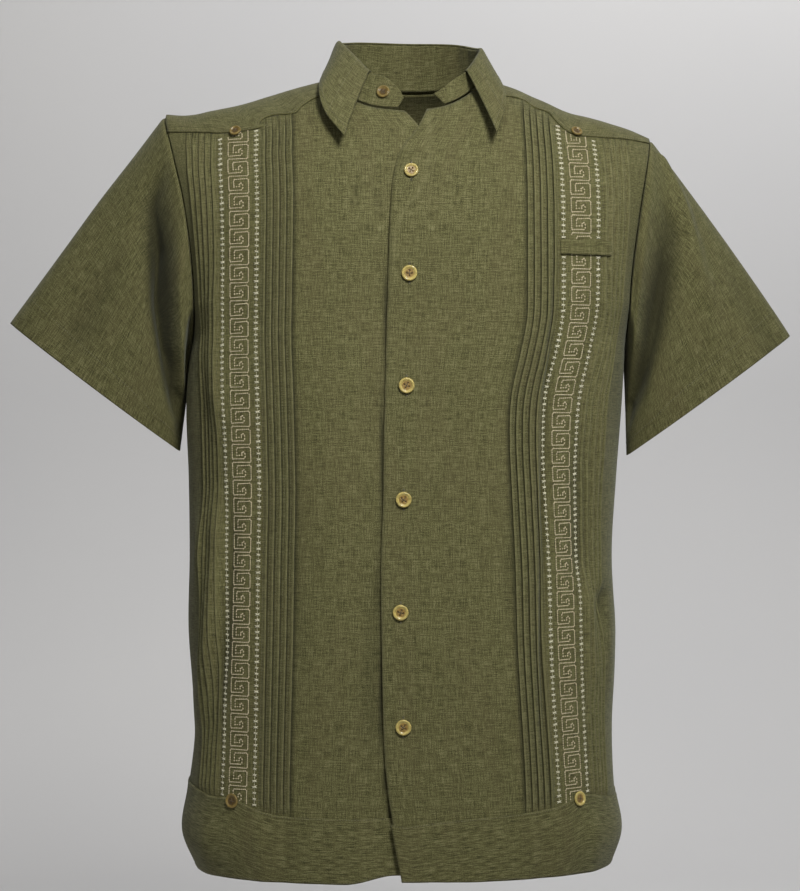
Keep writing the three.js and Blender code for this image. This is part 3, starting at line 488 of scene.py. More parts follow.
def noise(tree, place, scale, detail):
    return add_node(tree, "ShaderNodeTexNoise", {}, Vector=place, Scale=scale, Detail=detail).outputs["Fac"]


def new_material(name):
    material = bpy.data.materials.new(name)
    material.use_nodes = True
    tree = material.node_tree
    return material, tree, tree.nodes["Principled BSDF"]


def shader_group(name, inputs, outputs):
    group = bpy.data.node_groups.new(name, "ShaderNodeTree")
    for kind, label, value in inputs:
        made = group.interface.new_socket(label, in_out="INPUT", socket_type=kind)
        if value is not None:
            made.default_value = value
    for kind, label in outputs:
        group.interface.new_socket(label, in_out="OUTPUT", socket_type=kind)
    return group, group.nodes.new("NodeGroupInput").outputs, group.nodes.new("NodeGroupOutput").inputs


def slub_cloth_group():
    """Uneven warp and weft threads: colour and height from the cloth's cut coordinates."""
    group, given, out = shader_group(
        "slub cloth",
        [("NodeSocketVector", "Cut", None), ("NodeSocketColor", "Dark", (0.03, 0.03, 0.012, 1)),
         ("NodeSocketColor", "Middle", (0.1, 0.1, 0.05, 1)),
         ("NodeSocketColor", "Light", (0.2, 0.19, 0.1, 1)),
         ("NodeSocketColor", "Brown", (0.1, 0.075, 0.05, 1)), ("NodeSocketFloat", "Streak", 0.5)],
        [("NodeSocketColor", "Color"), ("NodeSocketFloat", "Height")])

    def threads(scale, detail, shift):
        spread = add_node(group, "ShaderNodeVectorMath", {"operation": "MULTIPLY"}, i0=given["Cut"], i1=scale)
        moved = add_node(group, "ShaderNodeVectorMath", {"operation": "ADD"}, i0=spread.outputs[0], i1=shift)
        return add_node(group, "ShaderNodeTexNoise", {"noise_dimensions": "2D"},
                        Vector=moved.outputs[0], Scale=1.0, Detail=detail, Roughness=0.6).outputs["Fac"]

    def mixed(a, b, share):
        return add_node(group, "ShaderNodeMix", {"data_type": "FLOAT"}, Factor=share, A=a, B=b).outputs[0]

    warp = mixed(threads((1150, 90, 1), 2, (3, 7, 0)), threads((520, 12, 1), 1, (21, 5, 0)), 0.2)
    weft = mixed(threads((90, 1150, 1), 2, (13, 1, 0)), threads((12, 520, 1), 1, (2, 31, 0)), 0.2)
    both = mixed(warp, weft, given["Streak"])
    speck = threads((1400, 1100, 1), 2, (9, 9, 0))
    value = mixed(both, speck, 0.35)
    ramp = ranged(group, value, 0.385, 0.615)
    first = mixed_colour(group, ranged(group, ramp, 0.0, 0.5), given["Dark"], given["Middle"])
    second = mixed_colour(group, ranged(group, ramp, 0.5, 1.0), first, given["Light"])
    tint = ranged(group, threads((34, 9, 1), 3, (5, 17, 0)), 0.4, 0.8, 0.0, 0.22)
    final = mixed_colour(group, tint, second, given["Brown"])
    group.links.new(final, out["Color"])
    group.links.new(mixed(both, speck, 0.5), out["Height"])
    return group


SLUB_CLOTH = slub_cloth_group()


def cloth_material(name, dark, middle, light, brown, streak=0.5):
    """Cloth in its thread colours; streak is 0 for upright slubs and 1 for slubs across."""
    material, tree, shader = new_material(name)
    cut = add_node(tree, "ShaderNodeUVMap", {"uv_map": "cut"}).outputs[0]
    weave = add_node(tree, "ShaderNodeGroup", {"node_tree": SLUB_CLOTH}, Cut=cut, Dark=dark, Middle=middle,
                     Light=light, Brown=brown, Streak=streak)
    # Paler towards the light thread colour where the attribute is above 0: worn tuck edges, and a painted
    # highlight along the upper front's edge. Darkened towards a painted shade colour where it is below 0:
    # painted shade in folds and creases, and a painted shadow beside the upper front's edge.
    wear_and_painted_light = add_node(tree, "ShaderNodeAttribute", {"attribute_name": "wear_and_painted_light"}).outputs["Fac"]
    edged = mixed_colour(tree, ranged(tree, wear_and_painted_light, 0.0, 1.0, 0.0, 0.4), weave.outputs["Color"], light)
    painted_fold_shade = tuple(0.4 * v for v in dark[:3]) + (1,)
    colour = mixed_colour(tree, ranged(tree, wear_and_painted_light, 0.0, -1.0, 0.0, 0.88), edged, painted_fold_shade)
    tree.links.new(colour, shader.inputs["Base Color"])
    bump = add_node(tree, "ShaderNodeBump", {}, Height=weave.outputs["Height"],
                    Strength=0.55, Distance=0.0006)
    tree.links.new(bump.outputs[0], shader.inputs["Normal"])
    shader.inputs["Roughness"].default_value = 0.82
    shader.inputs["Specular IOR Level"].default_value = 0.25
    shader.inputs["Sheen Weight"].default_value = 0.12
    shader.inputs["Sheen Roughness"].default_value = 0.5
    shader.inputs["Sheen Tint"].default_value = (0.75, 0.8, 0.7, 1)
    return material


OLIVE = {"dark": (0.04, 0.038, 0.013, 1), "middle": (0.112, 0.108, 0.039, 1),
         "light": (0.215, 0.207, 0.098, 1), "brown": (0.125, 0.1, 0.047, 1)}
PANEL = cloth_material("olive panel cloth", **OLIVE)

for side, name in ((-1, "front_right"), (1, "front_left")):
    front = FRONTS[side]
    tuck = front["height"]
    out_from_strip = abs(front["place"]) - FIRST_TUCK
    past_edge = (out_from_strip + 0.8) % TUCK_PITCH
    in_crevice = (front["kind"] == "fixed") & (out_from_strip > -1) & (past_edge < 1.9)
    steps = np.linalg.norm(np.diff(front["point"], axis=1), axis=2)
    u = np.concatenate([[0], np.cumsum(np.median(steps, 0))])[None, :].repeat(FRONT_ROWS, 0)
    v = front["z"] + 730
    clamped = front["clamped"]
    keep = ~(clamped[:-1, :-1] & clamped[1:, :-1])
    # Paler on the tops of the tucks, worn on their folded edges; painted shade deep in the crevice beside
    # each tuck.
    wear_and_light_marks = np.clip((tuck - 1.3) / 0.4, 0, 1) - 0.8 * np.clip((0.3 - tuck) / 0.6, 0, 1) * in_crevice
    # Elsewhere, painted shade in the troughs of the creases.
    wear_and_light_marks = np.where(wear_and_light_marks == 0, -0.55 * np.clip(-front["rise"] / 5, 0, 1), wear_and_light_marks)
    # A painted highlight along the upper front's lapping edge, and a painted shadow cast by that edge on the
    # under front.
    from_edge = front["point"][..., 0] - look_up(FRONT_LINES, front["z"], 1)
    painted_edge_highlight_and_shadow = np.exp(-(((from_edge - 1.2 * side) / 1.7) ** 2)) * (abs(from_edge) < 8)
    wear_and_light_marks = np.clip(wear_and_light_marks + side * painted_edge_highlight_and_shadow * (0.75 if side > 0 else 0.9), -1, 1)
    cut = np.stack([u, v], -1)
    piece = cloth_piece(name + "_panel", front["point"], PANEL, PANEL_CLOTH, cut, keep, wear_and_light_marks=wear_and_light_marks)
    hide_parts(name)

# ---- The back ----
# One panel of the same cloth from the yoke's back seam to the hem band, with soft creases that
# fall from the shoulder blades. Its sides are sewn to the fronts below the armholes.
BACK_CREASES = [
    [(-120, -110, 14, 0), (-112, -240, 18, -5), (-118, -420, 18, -4), (-104, -600, 16, 0)],
    [(118, -120, 14, 0), (122, -260, 16, -4), (112, -430, 20, -6), (120, -610, 16, 0)],
    [(-160, -230, 12, 0), (-152, -320, 13, 5), (-160, -470, 14, 4), (-170, -600, 12, 0)],
    [(166, -240, 12, 0), (158, -330, 13, 4), (164, -480, 12, 5), (172, -590, 12, 0)],
    [(-40, -160, 20, 0), (-34, -300, 24, 3), (-46, -500, 24, 4), (-38, -640, 18, 0)],
    [(52, -190, 18, 0), (44, -330, 22, 4), (56, -480, 20, 3), (48, -630, 18, 0)],
    [(4, -300, 14, 0), (8, -400, 14, -3), (0, -560, 16, -3), (6, -640, 12, 0)],
]
BAND_SEAM_BACK = -650.0
YOKE_BACK = -95.0
BACK_COLUMNS, BACK_ROWS = 131, 190


def closer_at_sides(columns):
    """Shares of the way from the middle to each side, closer together at the sides."""
    share = np.linspace(-1, 1, columns)
    return np.sign(share) * np.sin(abs(share) * math.pi / 2) ** 0.85


def back_point(signed, level):
    """A point of the back by its signed share of the way from the middle to the side."""
    right = turn_point(-1, turn_at(-1, True, abs(signed) * whole_length(-1, level, True), level), level, True)
    left = turn_point(1, turn_at(1, True, abs(signed) * whole_length(1, level, True), level), level, True)
    return np.where((signed < 0)[..., None], right, left)


def back_grid():
    signed = closer_at_sides(BACK_COLUMNS)
    side = np.where(signed < 0, -1, 1)
    across = abs(back_point(signed, np.full(BACK_COLUMNS, -140.0))[:, 0])
    top = level_for(side, across, np.full(BACK_COLUMNS, YOKE_BACK), True) + LAP
    top_z = height_at(side, across, top, True)
    share = np.linspace(0, 1, BACK_ROWS)[:, None]
    z = BAND_SEAM_BACK - LAP + (top_z - BAND_SEAM_BACK + LAP) * share
    level = level_for(side, across + 0 * z, z, True)
    signed = signed + 0 * level
    point = back_point(signed, level)
    out = unit(np.cross(np.gradient(point, axis=0), np.gradient(point, axis=1)))
    fade = soft_step(share / 0.08) * soft_step((1 - share) / 0.05) * soft_step((1 - abs(signed)) / 0.08)
    rise = crease_height(BACK_CREASES, point[..., 0], point[..., 2]) * fade
    return point + out * rise[..., None]


back_points = back_grid()
back_piece = cloth_piece("back_panel", back_points, PANEL, PANEL_CLOTH)
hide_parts("back")

# ---- The yoke ----
# A doubled piece over the shoulders, cut to a point over each strip in front and straight across
# the back. It lies over the panels' top edges and is topstitched along its seams.
YOKE_LIFT = 1.3
NECK_COLUMNS, SHOULDER_COLUMNS = 20, 52


def yoke_grid():
    """The yoke's points, and which of its faces are kept: none is, in front of the neck."""
    inner = np.linspace(0, 1, NECK_COLUMNS + 1)[:-1]
    neck = np.concatenate([inner, np.full(SHOULDER_COLUMNS, np.nan)])
    share = np.concatenate([np.zeros(NECK_COLUMNS), np.linspace(0, 1, SHOULDER_COLUMNS)])
    front_rows, back_rows = np.linspace(0, 1, 34), np.linspace(0, 1, 40)[1:]
    halves = []
    for side in (-1, 1):
        is_neck = ~np.isnan(neck)
        neck_across = np.maximum(0.01, np.nan_to_num(neck) * NECK_HALF)
        neck_lines = neck_level(side, neck_across, True)

        def across_at(level, back):
            edge = by_side(side, BODY, level, 1)
            if back:
                reach = np.full(np.shape(level), NECK_HALF)
            else:
                depth = abs(body_point(side, np.full(np.shape(level), NECK_HALF - 4), level, False)[..., 1])
                inside = (1 - np.clip(depth / NECK_FRONT, 0, 1) ** NECK_FRONT_POWER) ** (1 / NECK_FRONT_POWER)
                reach = NECK_HALF * inside
            return np.where(is_neck, neck_across, reach + (edge - reach) * share)

        guess = across_at(np.full(len(share), -60.0), False)
        seam = level_for(side, guess, by_side(side, YOKE_SEAM, guess, 1), False)
        rows = []
        for row in front_rows:
            level = seam * (1 - row)
            front = body_point(side, across_at(level, False), level, False)
            rest = body_point(side, neck_across, neck_lines, True)
            rows.append(np.where(is_neck[:, None], rest, front))
        start = np.where(is_neck, neck_lines, 0)
        guess = across_at(np.full(len(share), -140.0), True)
        end = level_for(side, guess, np.full(len(share), YOKE_BACK), True)
        for row in back_rows:
            level = start + (end - start) * row
            rows.append(body_point(side, across_at(level, True), level, True))
        halves.append(np.array(rows))
    grid = np.concatenate([halves[0][:, :0:-1], halves[1]], 1)
    number = np.arange(len(share))
    neck_columns = np.concatenate([number[:0:-1], number]) < NECK_COLUMNS
    keep = np.ones((grid.shape[0] - 1, grid.shape[1] - 1), bool)
    keep[: len(front_rows) - 1] = ~(neck_columns[:-1] | neck_columns[1:])
    return grid, keep


yoke_points, yoke_keep = yoke_grid()
yoke_out = unit(np.cross(np.gradient(yoke_points, axis=1), np.gradient(yoke_points, axis=0)))
YOKE_CREASES = [
    [(-196, -22, 8, 0), (-178, -28, 9, 1.6), (-150, -20, 8, 0)],
    [(-132, -8, 7, 0), (-112, -18, 8, -1.4), (-90, -12, 7, 0)],
    [(150, -24, 8, 0), (172, -36, 8, 1.4), (196, -38, 8, 0)],
    [(98, -2, 6, 0), (116, -12, 7, -1.3), (134, -20, 6, 0)],
]
yoke_rise = YOKE_LIFT + crease_height(YOKE_CREASES, yoke_points[..., 0], yoke_points[..., 2])
yoke_points = yoke_points + yoke_out * yoke_rise[..., None]
YOKE = cloth_material("olive yoke cloth", **OLIVE, streak=0.66)
yoke_piece = cloth_piece("yoke_panel", yoke_points, YOKE, 1.0, keep=yoke_keep)
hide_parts("yoke")

# ---- The sleeves ----
# Short, wide set-in sleeves of the same cloth: each hangs from the armhole seam in two or three
# long folds and ends in a turned hem, stitched about 22 mm above its edge.

# eighths of the way down the armhole, level
ARMHOLE_LEVELS = np.array([
    [0, 0], [1, -40], [2, -75], [3, -110], [4, -145], [5, -175], [6, -205], [7, -228], [8, -245],
], float)
# opening's centre x and z, half axis to the outer tip x and z, half depth
CUFFS = {-1: (-292.0, -274.5, -79.0, 59.5, 37.0), 1: (284.0, -282.5, 76.0, 55.5, 37.0)}
SLEEVE_CAP = {-1: 0.5, 1: 2.5}  # how far the top is arched
# Creases: turn round the sleeve in degrees from its top over the front, per cent of the way down,
# half width in degrees and rise in millimetres.
SLEEVE_CREASES = {
    -1: [
        [(56, 10, 4, 0), (64, 20, 4, -5), (88, 28, 5, -9), (108, 41, 5, -9), (125, 48, 5, -7),
         (150, 56, 5, 0)],
        [(50, 5, 8, 0), (68, 18, 10, -9), (95, 28, 12, -15), (115, 39, 12, -18), (132, 49, 12, -18),
         (150, 62, 11, -14), (165, 78, 9, -3)],
        [(98, 4, 6, 0), (112, 16, 9, 5), (132, 30, 9, 8), (150, 45, 9, 7), (168, 58, 8, 0)],
        [(125, 2, 7, 0), (145, 12, 9, -8), (160, 25, 9, -11), (172, 40, 8, -5)],
        [(18, 12, 12, 0), (24, 45, 14, 3), (30, 90, 14, 2), (34, 100, 12, 0)],
        [(62, 40, 9, 0), (66, 62, 11, -3), (68, 85, 11, -4), (68, 100, 9, -1)],
        [(250, 5, 16, 0), (246, 40, 18, -10), (240, 80, 16, -6), (238, 100, 14, 0)],
        [(300, 5, 16, 0), (302, 50, 18, 6), (300, 95, 16, 0)],
    ],
    1: [
        [(22, 5, 5, 0), (25, 10, 6, 4), (52, 33, 7, 8), (66, 50, 9, 7), (74, 77, 11, 3), (76, 95, 9, 0)],
        [(55, 12, 7, 0), (66, 26, 10, -9), (95, 33, 13, -14), (118, 40, 15, -16), (145, 52, 14, -14),
         (165, 62, 11, -9), (176, 78, 8, 0)],
        [(40, 3, 5, 0), (80, 6, 6, 4), (110, 12, 7, 5), (135, 20, 7, 3), (150, 27, 5, 0)],
        [(30, 50, 9, 0), (36, 70, 12, -3), (40, 100, 12, -3)],
        [(250, 5, 16, 0), (246, 40, 18, -10.4), (240, 80, 16, -6.5), (238, 100, 14, 0)],
        [(300, 5, 16, 0), (302, 50, 18, 6.5), (300, 95, 16, 0)],
    ],
}
SLEEVE_TURNS, SLEEVE_ROWS = 200, 120


def sleeve_grid(side):
    turn = np.linspace(0, 2 * math.pi, SLEEVE_TURNS, endpoint=False)
    step = turn / (2 * math.pi) * 16
    back = step > 8
    level = look_up(ARMHOLE_LEVELS, np.where(back, 16 - step, step), 1)
    edge = section_at(side, level, False)[3]
    start = np.where(back[:, None], turn_point(side, edge, level, True), turn_point(side, edge, level, False))
    start[:, 0] += side * 0.9
    x, z, tip_x, tip_z, depth = CUFFS[side]
    end = np.stack([x + tip_x * np.cos(turn), -depth * np.sin(turn), z + tip_z * np.cos(turn)], -1)
    share, degrees = np.meshgrid(np.linspace(0, 1, SLEEVE_ROWS), np.degrees(turn), indexing="ij")
    grid = start + (end - start) * share[..., None]
    out = unit(grid - grid.mean(1, keepdims=True))
    from_top = (np.minimum(degrees, 360 - degrees) - 10) / 70
    cap = np.where(abs(from_top) < 1, np.cos(from_top * math.pi / 2) ** 2, 0) * SLEEVE_CAP[side]
    folds = crease_height(SLEEVE_CREASES[side], degrees, 100 * share)
    rise = cap * np.sin(math.pi * share) ** 0.7 + folds
    seam = 1.6 * np.exp(-((share * 170 / 2.5) ** 2))
    grid = grid + out * (rise - seam + 0.9 * soft_step(share / 0.02))[..., None]
    cut = np.stack([degrees / 360 * 520, share * 210], -1)
    # The last value is painted shade: it darkens the cloth in the troughs of the folds.
    return grid, cut, np.clip(folds / 13, -1, 0) * 0.9


SLEEVE = cloth_material("olive sleeve cloth", **OLIVE, streak=0.38)
SLEEVES = {side: sleeve_grid(side) for side in (-1, 1)}
for side, name in SIDES:
    grid, cut, wear_and_light_marks = SLEEVES[side]
    piece = cloth_piece("sleeve_" + name + "_cloth", grid, SLEEVE, 0.9, cut, ring=True, wear_and_light_marks=wear_and_light_marks)
    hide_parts("sleeve_" + name)

# ---- The collar stand ----
# A band of doubled, stiffened cloth that rises from the neck seam. It is worn open: its ends
# spread at the throat, and the one on the wearer's right carries a button.
# turn round the neck in degrees from the nape, fold line x, y, z, outer edge x, y, z
COLLAR = {
    -1: np.array([
        [0, 0, 58, 56, 0, 84, 12], [40, 42, 44, 55, 54, 64, 13], [75, 60, 17, 50, 71, 24, 16],
        [100, 61, -8, 47, 75, -26, 15], [125, 54, -34, 36, 77.5, -72, -6],
        [145, 43.5, -52, 22.5, 70.5, -96, -30], [158, 32.5, -63, 10.5, 54, -113, -53],
    ], float),
    1: np.array([
        [0, 0, 58, 56, 0, 84, 12], [40, 44, 44, 53, 57, 62, 12], [75, 65, 17, 45, 77.5, 22, 16],
        [100, 69, -8, 40, 83.5, -28, 11], [125, 66, -30, 31, 88.5, -72, -9],
        [145, 61, -47, 21, 86.5, -96, -28], [158, 54, -59, 11.5, 79, -114, -50],
    ], float),
}
# the stand's top edge past the fall: turn, x, y, z
STAND_ENDS = {
    -1: np.array([[166, 20, -70, 6.5], [173, 8, -76, -4], [178, 2, -79, -14]], float),
    1: np.array([[160, 44, -66, 5], [163, 34, -72, -4], [166, 25, -77, -10]], float),
}
NECK_SEAM_END = {-1: 178.0, 1: 160.0}
STAND_INSET = 0.985


def fold_point(side, turn):
    table = np.vstack([COLLAR[side][:, :4], STAND_ENDS[side]])
    return np.stack([look_up(table, turn, k) for k in (1, 2, 3)], -1) * [side, 1, 1]


def edge_point(side, turn):
    return np.stack([look_up(COLLAR[side], turn, k) for k in (4, 5, 6)], -1) * [side, 1, 1]


def stand_foot(side, turn):
    seam_turn = turn / STAND_ENDS[side][2, 0] * NECK_SEAM_END[side]
    plan = np.radians(seam_turn)
    points = []
    for back in (True, False):
        power = 2 / (NECK_BACK_POWER if back else NECK_FRONT_POWER)
        across = np.maximum(0.01, NECK_HALF * np.sin(plan) ** power)
        level = neck_level(side, across, back)
        points.append(body_point(side, across, level, back))
    foot = np.where((seam_turn < 90)[:, None], points[0], points[1])
    foot[:, :2] *= STAND_INSET
    foot[:, 2] += 3.6 + (1.8 - 3.6) * soft_step((seam_turn - 122) / 16)
    return foot


def stand_half(side, turns, shares):
    foot, fold = stand_foot(side, turns), fold_point(side, turns)
    return foot + (fold - foot) * shares[:, None, None]


stand_shares = np.linspace(0, 1, 22)
right_turns = np.linspace(0, STAND_ENDS[-1][2, 0], 110)
left_turns = np.linspace(0, STAND_ENDS[1][2, 0], 104)
stand_points = np.concatenate([
    stand_half(-1, right_turns, stand_shares)[:, :0:-1], stand_half(1, left_turns, stand_shares)], 1)
stand_x = stand_points[..., 0]
crinkle = np.sin(stand_x * 0.55 + 1.3 * np.sin(stand_x * 0.21)) * stand_shares[:, None] ** 2
stand_points = stand_points + unit(stand_points * [1, 1, 0]) * (0.5 * crinkle)[..., None]
COLLAR_CLOTH = cloth_material("olive collar cloth", **OLIVE, streak=0.6)
stand_piece = cloth_piece("collar_stand_band", stand_points, COLLAR_CLOTH, 1.5)
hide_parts("collar_stand")

# ---- The collar fall ----
# The turned-down leaf of the collar, doubled and stiffened. It rolls over the stand's top edge
# and falls to a long point on each side, topstitched 5 mm in from its edge.
# share of the way from the fold to the edge, distance out from that line, rise
FALL_PROFILE = np.array([
    [-0.03, -0.4, 0.2], [-0.01, 0.6, 1.6], [0.01, 1.9, 2.4], [0.04, 3.3, 2.3], [0.09, 4.2, 1.5],
    [0.2, 4.6, 1.1], [0.4, 4.6, 0.8], [0.7, 4.4, 0.4], [0.9, 4.2, 0.1], [1.0, 3.8, 0.0],
])


def fall_half(side, turns):
    shares = np.concatenate([np.linspace(-0.03, 0.09, 12)[:-1], np.linspace(0.09, 1, 44)])
    fold, edge = fold_point(side, turns), edge_point(side, turns)
    out = unit((edge - fold) * [1, 1, 0])
    s = shares[:, None]
    point = fold + (edge - fold) * shares[:, None, None]
    point = point + out * look_up(FALL_PROFILE, s, 1)[..., None]
    point[..., 2] += look_up(FALL_PROFILE, s, 2)
    bow = np.sin(math.pi * np.clip(s, 0, 1)) * soft_step((turns - 95) / 50)
    return point + out * bow[..., None]


fall_turns = np.linspace(0, 158, 120)
fall_points = np.concatenate([fall_half(-1, fall_turns)[:, :0:-1], fall_half(1, fall_turns)], 1)
fall_piece = cloth_piece("collar_fall_leaf", fall_points, COLLAR_CLOTH, 1.5)
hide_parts("collar_fall")

# ---- The hem bands ----
# Applied bands round the hem, with their threads running round the body. In front their top
# seams rise to a point at each hem button; the back band is straight.
BAND_LIFT = 1.1
HEM = {-1: -718.0, 1: -716.0}
BAND = cloth_material("olive band cloth", **OLIVE, streak=0.78)


def band_grid(side):
    out = np.linspace(0, 1, 110)
    share = np.linspace(0, 1, 30)[:, None]
    level = -655 - 60 * share
    whole = whole_length(side, level, False)
    inner = inner_edge(side, level) * side
    length = inner + (whole - inner) * out
    flat = front_spot(side, length, level + 0 * out)
    x = flat[..., 0]
    top = by_side(side, BAND_SEAM, abs(x), 1)
    hem = HEM[side] + 0 * x
    if side < 0:
        near = np.clip(-x - 10, 0, None) / 45
        hem = hem + 7 * np.where(near < 1, np.cos(near * math.pi / 2) ** 2, 0)
    z = top + (hem - top) * share
    point = front_spot(side, length, np.clip(z, -729, 0))
    point[..., 2] = z
    away = unit(np.cross(np.gradient(point, axis=1), np.gradient(point, axis=0)))
    away = away * np.sign((away * (point * [1, 1, 0])).sum())
    ripple = crease_height(BAND_CREASES[side], x, z)
    return point + away * (BAND_LIFT + ripple)[..., None]


BAND_CREASES = {
    -1: [
        [(-128, -648, 8, 0), (-132, -680, 9, 1.6), (-128, -716, 8, 1.0)],
        [(-108, -655, 8, 0), (-106, -690, 8, -1.4), (-108, -716, 8, -1.2)],
        [(-60, -662, 12, 0), (-56, -700, 12, 1.2), (-58, -718, 12, 1.2)],
        [(-178, -650, 8, 0), (-182, -690, 9, 2), (-178, -716, 8, 1)],
    ],
    1: [
        [(120, -655, 9, 0), (124, -690, 10, -1.6), (120, -716, 9, -1.2)],
        [(60, -664, 12, 0), (64, -700, 13, 1.2), (60, -716, 12, 1.4)],
        [(168, -652, 8, 0), (172, -690, 9, 1.6), (168, -716, 8, 1.2)],
        [(24, -668, 8, 0), (28, -700, 9, -1), (24, -716, 8, -1.2)],
    ],
}
BANDS = {side: band_grid(side) for side in (-1, 1)}
for side, name in SIDES:
    piece = cloth_piece("hem_band_" + name + "_cloth", BANDS[side], BAND, 1.0)
    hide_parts("hem_band_" + name)

back_signed = closer_at_sides(140)
band_levels = np.linspace(BAND_SEAM_BACK, -717, 26)[:, None]
back_band = back_point(back_signed + 0 * band_levels, band_levels + 0 * back_signed)
away = unit(np.cross(np.gradient(back_band, axis=0), np.gradient(back_band, axis=1)))
away = away * np.sign((away * (back_band * [1, 1, 0])).sum())
back_band = back_band + away * BAND_LIFT
back_band_piece = cloth_piece("hem_band_back_cloth", back_band, BAND, 1.0)
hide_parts("hem_band_back")

# ---- The pocket welt ----
# A narrow folded welt of the panel cloth, sewn over the opening of an inset chest pocket. It
# crosses the wearer's left strip.
CROSS_ROW = 17.3  # the rows of crosses lie this far to each side of a strip's centre line
WELT_FROM, WELT_TO, WELT_HEIGHT, WELT_Z = -3.0 - CROSS_ROW, 50.0 - CROSS_ROW, 13.0, -152.0
welt_places = np.linspace(WELT_FROM, WELT_TO, 40)
welt_rows = []
for z in np.linspace(WELT_Z - WELT_HEIGHT / 2, WELT_Z + WELT_HEIGHT / 2, 9):
    spot, direction = front_at(1, column_at(1, welt_places), np.full(40, z))
    welt_rows.append(spot + direction * 1.0)
smooth = np.array(welt_rows)
for _ in range(6):
    smooth[:, 1:-1] = (smooth[:, :-2] + smooth[:, 2:] + smooth[:, 1:-1]) / 3
smooth[..., 1] -= 0.8
welt_piece = cloth_piece("pocket_welt_cloth", smooth, COLLAR_CLOTH, 0.9)
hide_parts("pocket_welt")

# ---- The embroidery ----
# A Greek key in pale beige thread, worked as one line of short running stitches down each strip,
# between two rows of thick cream crosses that are joined by a fine thread.

# one repeat of the key, across from 0 to 1 of its width and down from 0 to 1 of its pitch
KEY_LINE = [
    (0.06, 0.0), (0.0, 0.08), (0.0, 0.72), (0.04, 0.82), (0.62, 0.80), (0.70, 0.70), (0.70, 0.52),
    (0.62, 0.42), (0.54, 0.48), (0.53, 0.60), (0.26, 0.62), (0.25, 0.30), (0.30, 0.20), (0.92, 0.16),
    (1.0, 0.24), (1.0, 0.92), (0.94, 1.0), (0.06, 1.0),
]
KEY_WIDTH, KEY_PITCH = 19.0, 16.1


def thread_material(name, colour, shade):
    material, tree, shader = new_material(name)
    strand = noise(tree, add_node(tree, "ShaderNodeTexCoord").outputs["Object"], 900.0, 3.0)
    tree.links.new(mixed_colour(tree, strand, shade, colour), shader.inputs["Base Color"])
    bump = add_node(tree, "ShaderNodeBump", {}, Height=strand, Strength=0.4, Distance=0.0002)
    tree.links.new(bump.outputs[0], shader.inputs["Normal"])
    shader.inputs["Roughness"].default_value = 0.6
    shader.inputs["Sheen Weight"].default_value = 0.1
    return material


def stitch_tree():
    """Stitches laid along lines: each is a slim bead of thread, turned in the cloth's plane."""
    tree = bpy.data.node_groups.new("laid stitches", "GeometryNodeTree")
    face = tree.interface
    face.new_socket("Geometry", in_out="INPUT", socket_type="NodeSocketGeometry")
    for label, value in (("Spacing", 0.003), ("Length", 0.002), ("Width", 0.0006), ("Height", 0.0004),
                         ("Turn", 0.0), ("Wander", 0.05)):
        face.new_socket(label, in_out="INPUT", socket_type="NodeSocketFloat").default_value = value
    face.new_socket("Seed", in_out="INPUT", socket_type="NodeSocketInt").default_value = 1
    face.new_socket("Thread", in_out="INPUT", socket_type="NodeSocketMaterial")
    face.new_socket("Geometry", in_out="OUTPUT", socket_type="NodeSocketGeometry")
    given = tree.nodes.new("NodeGroupInput").outputs
    out = tree.nodes.new("NodeGroupOutput").inputs
    line = add_node(tree, "GeometryNodeMeshToCurve", {}, Mesh=given["Geometry"])
    even = add_node(tree, "GeometryNodeResampleCurve", {"mode": "LENGTH"}, Curve=line.outputs[0],
                    Length=given["Spacing"])
    bead = add_node(tree, "GeometryNodeMeshUVSphere", {}, Segments=6, Rings=4, Radius=0.5)
    tangent = tree.nodes.new("GeometryNodeInputTangent").outputs[0]
    outward = add_node(tree, "GeometryNodeInputNamedAttribute", {"data_type": "FLOAT_VECTOR"},
                       Name="outward").outputs[0]
    along = add_node(tree, "FunctionNodeAlignRotationToVector", {"axis": "X"}, Vector=tangent)
    upright = add_node(tree, "FunctionNodeAlignRotationToVector", {"axis": "Z", "pivot_axis": "X"},
                       Rotation=along.outputs[0], Vector=outward)
    least = add_node(tree, "ShaderNodeMath", {"operation": "MULTIPLY"}, i0=given["Wander"], i1=-1.0)
    wander = add_node(tree, "FunctionNodeRandomValue", {"data_type": "FLOAT"}, i2=least.outputs[0],
                      i3=given["Wander"], Seed=given["Seed"])
    angle = add_node(tree, "ShaderNodeMath", {"operation": "ADD"}, i0=given["Turn"], i1=wander.outputs[1])
    spin = add_node(tree, "FunctionNodeAxisAngleToRotation", {}, Axis=(0, 0, 1), Angle=angle.outputs[0])
    turned = add_node(tree, "FunctionNodeRotateRotation", {"rotation_space": "LOCAL"},
                      i0=upright.outputs[0], i1=spin.outputs[0])
    size = add_node(tree, "ShaderNodeCombineXYZ", {}, X=given["Length"], Y=given["Width"], Z=given["Height"])
    uneven = add_node(tree, "FunctionNodeRandomValue", {"data_type": "FLOAT"}, i2=0.86, i3=1.12,
                      Seed=given["Seed"])
    scaled = add_node(tree, "ShaderNodeVectorMath", {"operation": "SCALE"}, i0=size.outputs[0],
                      Scale=uneven.outputs[1])
    placed = add_node(tree, "GeometryNodeInstanceOnPoints", {}, Points=even.outputs[0],
                      Instance=bead.outputs[0], Rotation=turned.outputs[0], Scale=scaled.outputs[0])
    real = add_node(tree, "GeometryNodeRealizeInstances", {}, Geometry=placed.outputs[0])
    rounded = add_node(tree, "GeometryNodeSetShadeSmooth", {}, Geometry=real.outputs[0])
    finished = add_node(tree, "GeometryNodeSetMaterial", {}, Geometry=rounded.outputs[0],
                        Material=given["Thread"])
    tree.links.new(finished.outputs[0], out["Geometry"])
    return tree


STITCHES = stitch_tree()


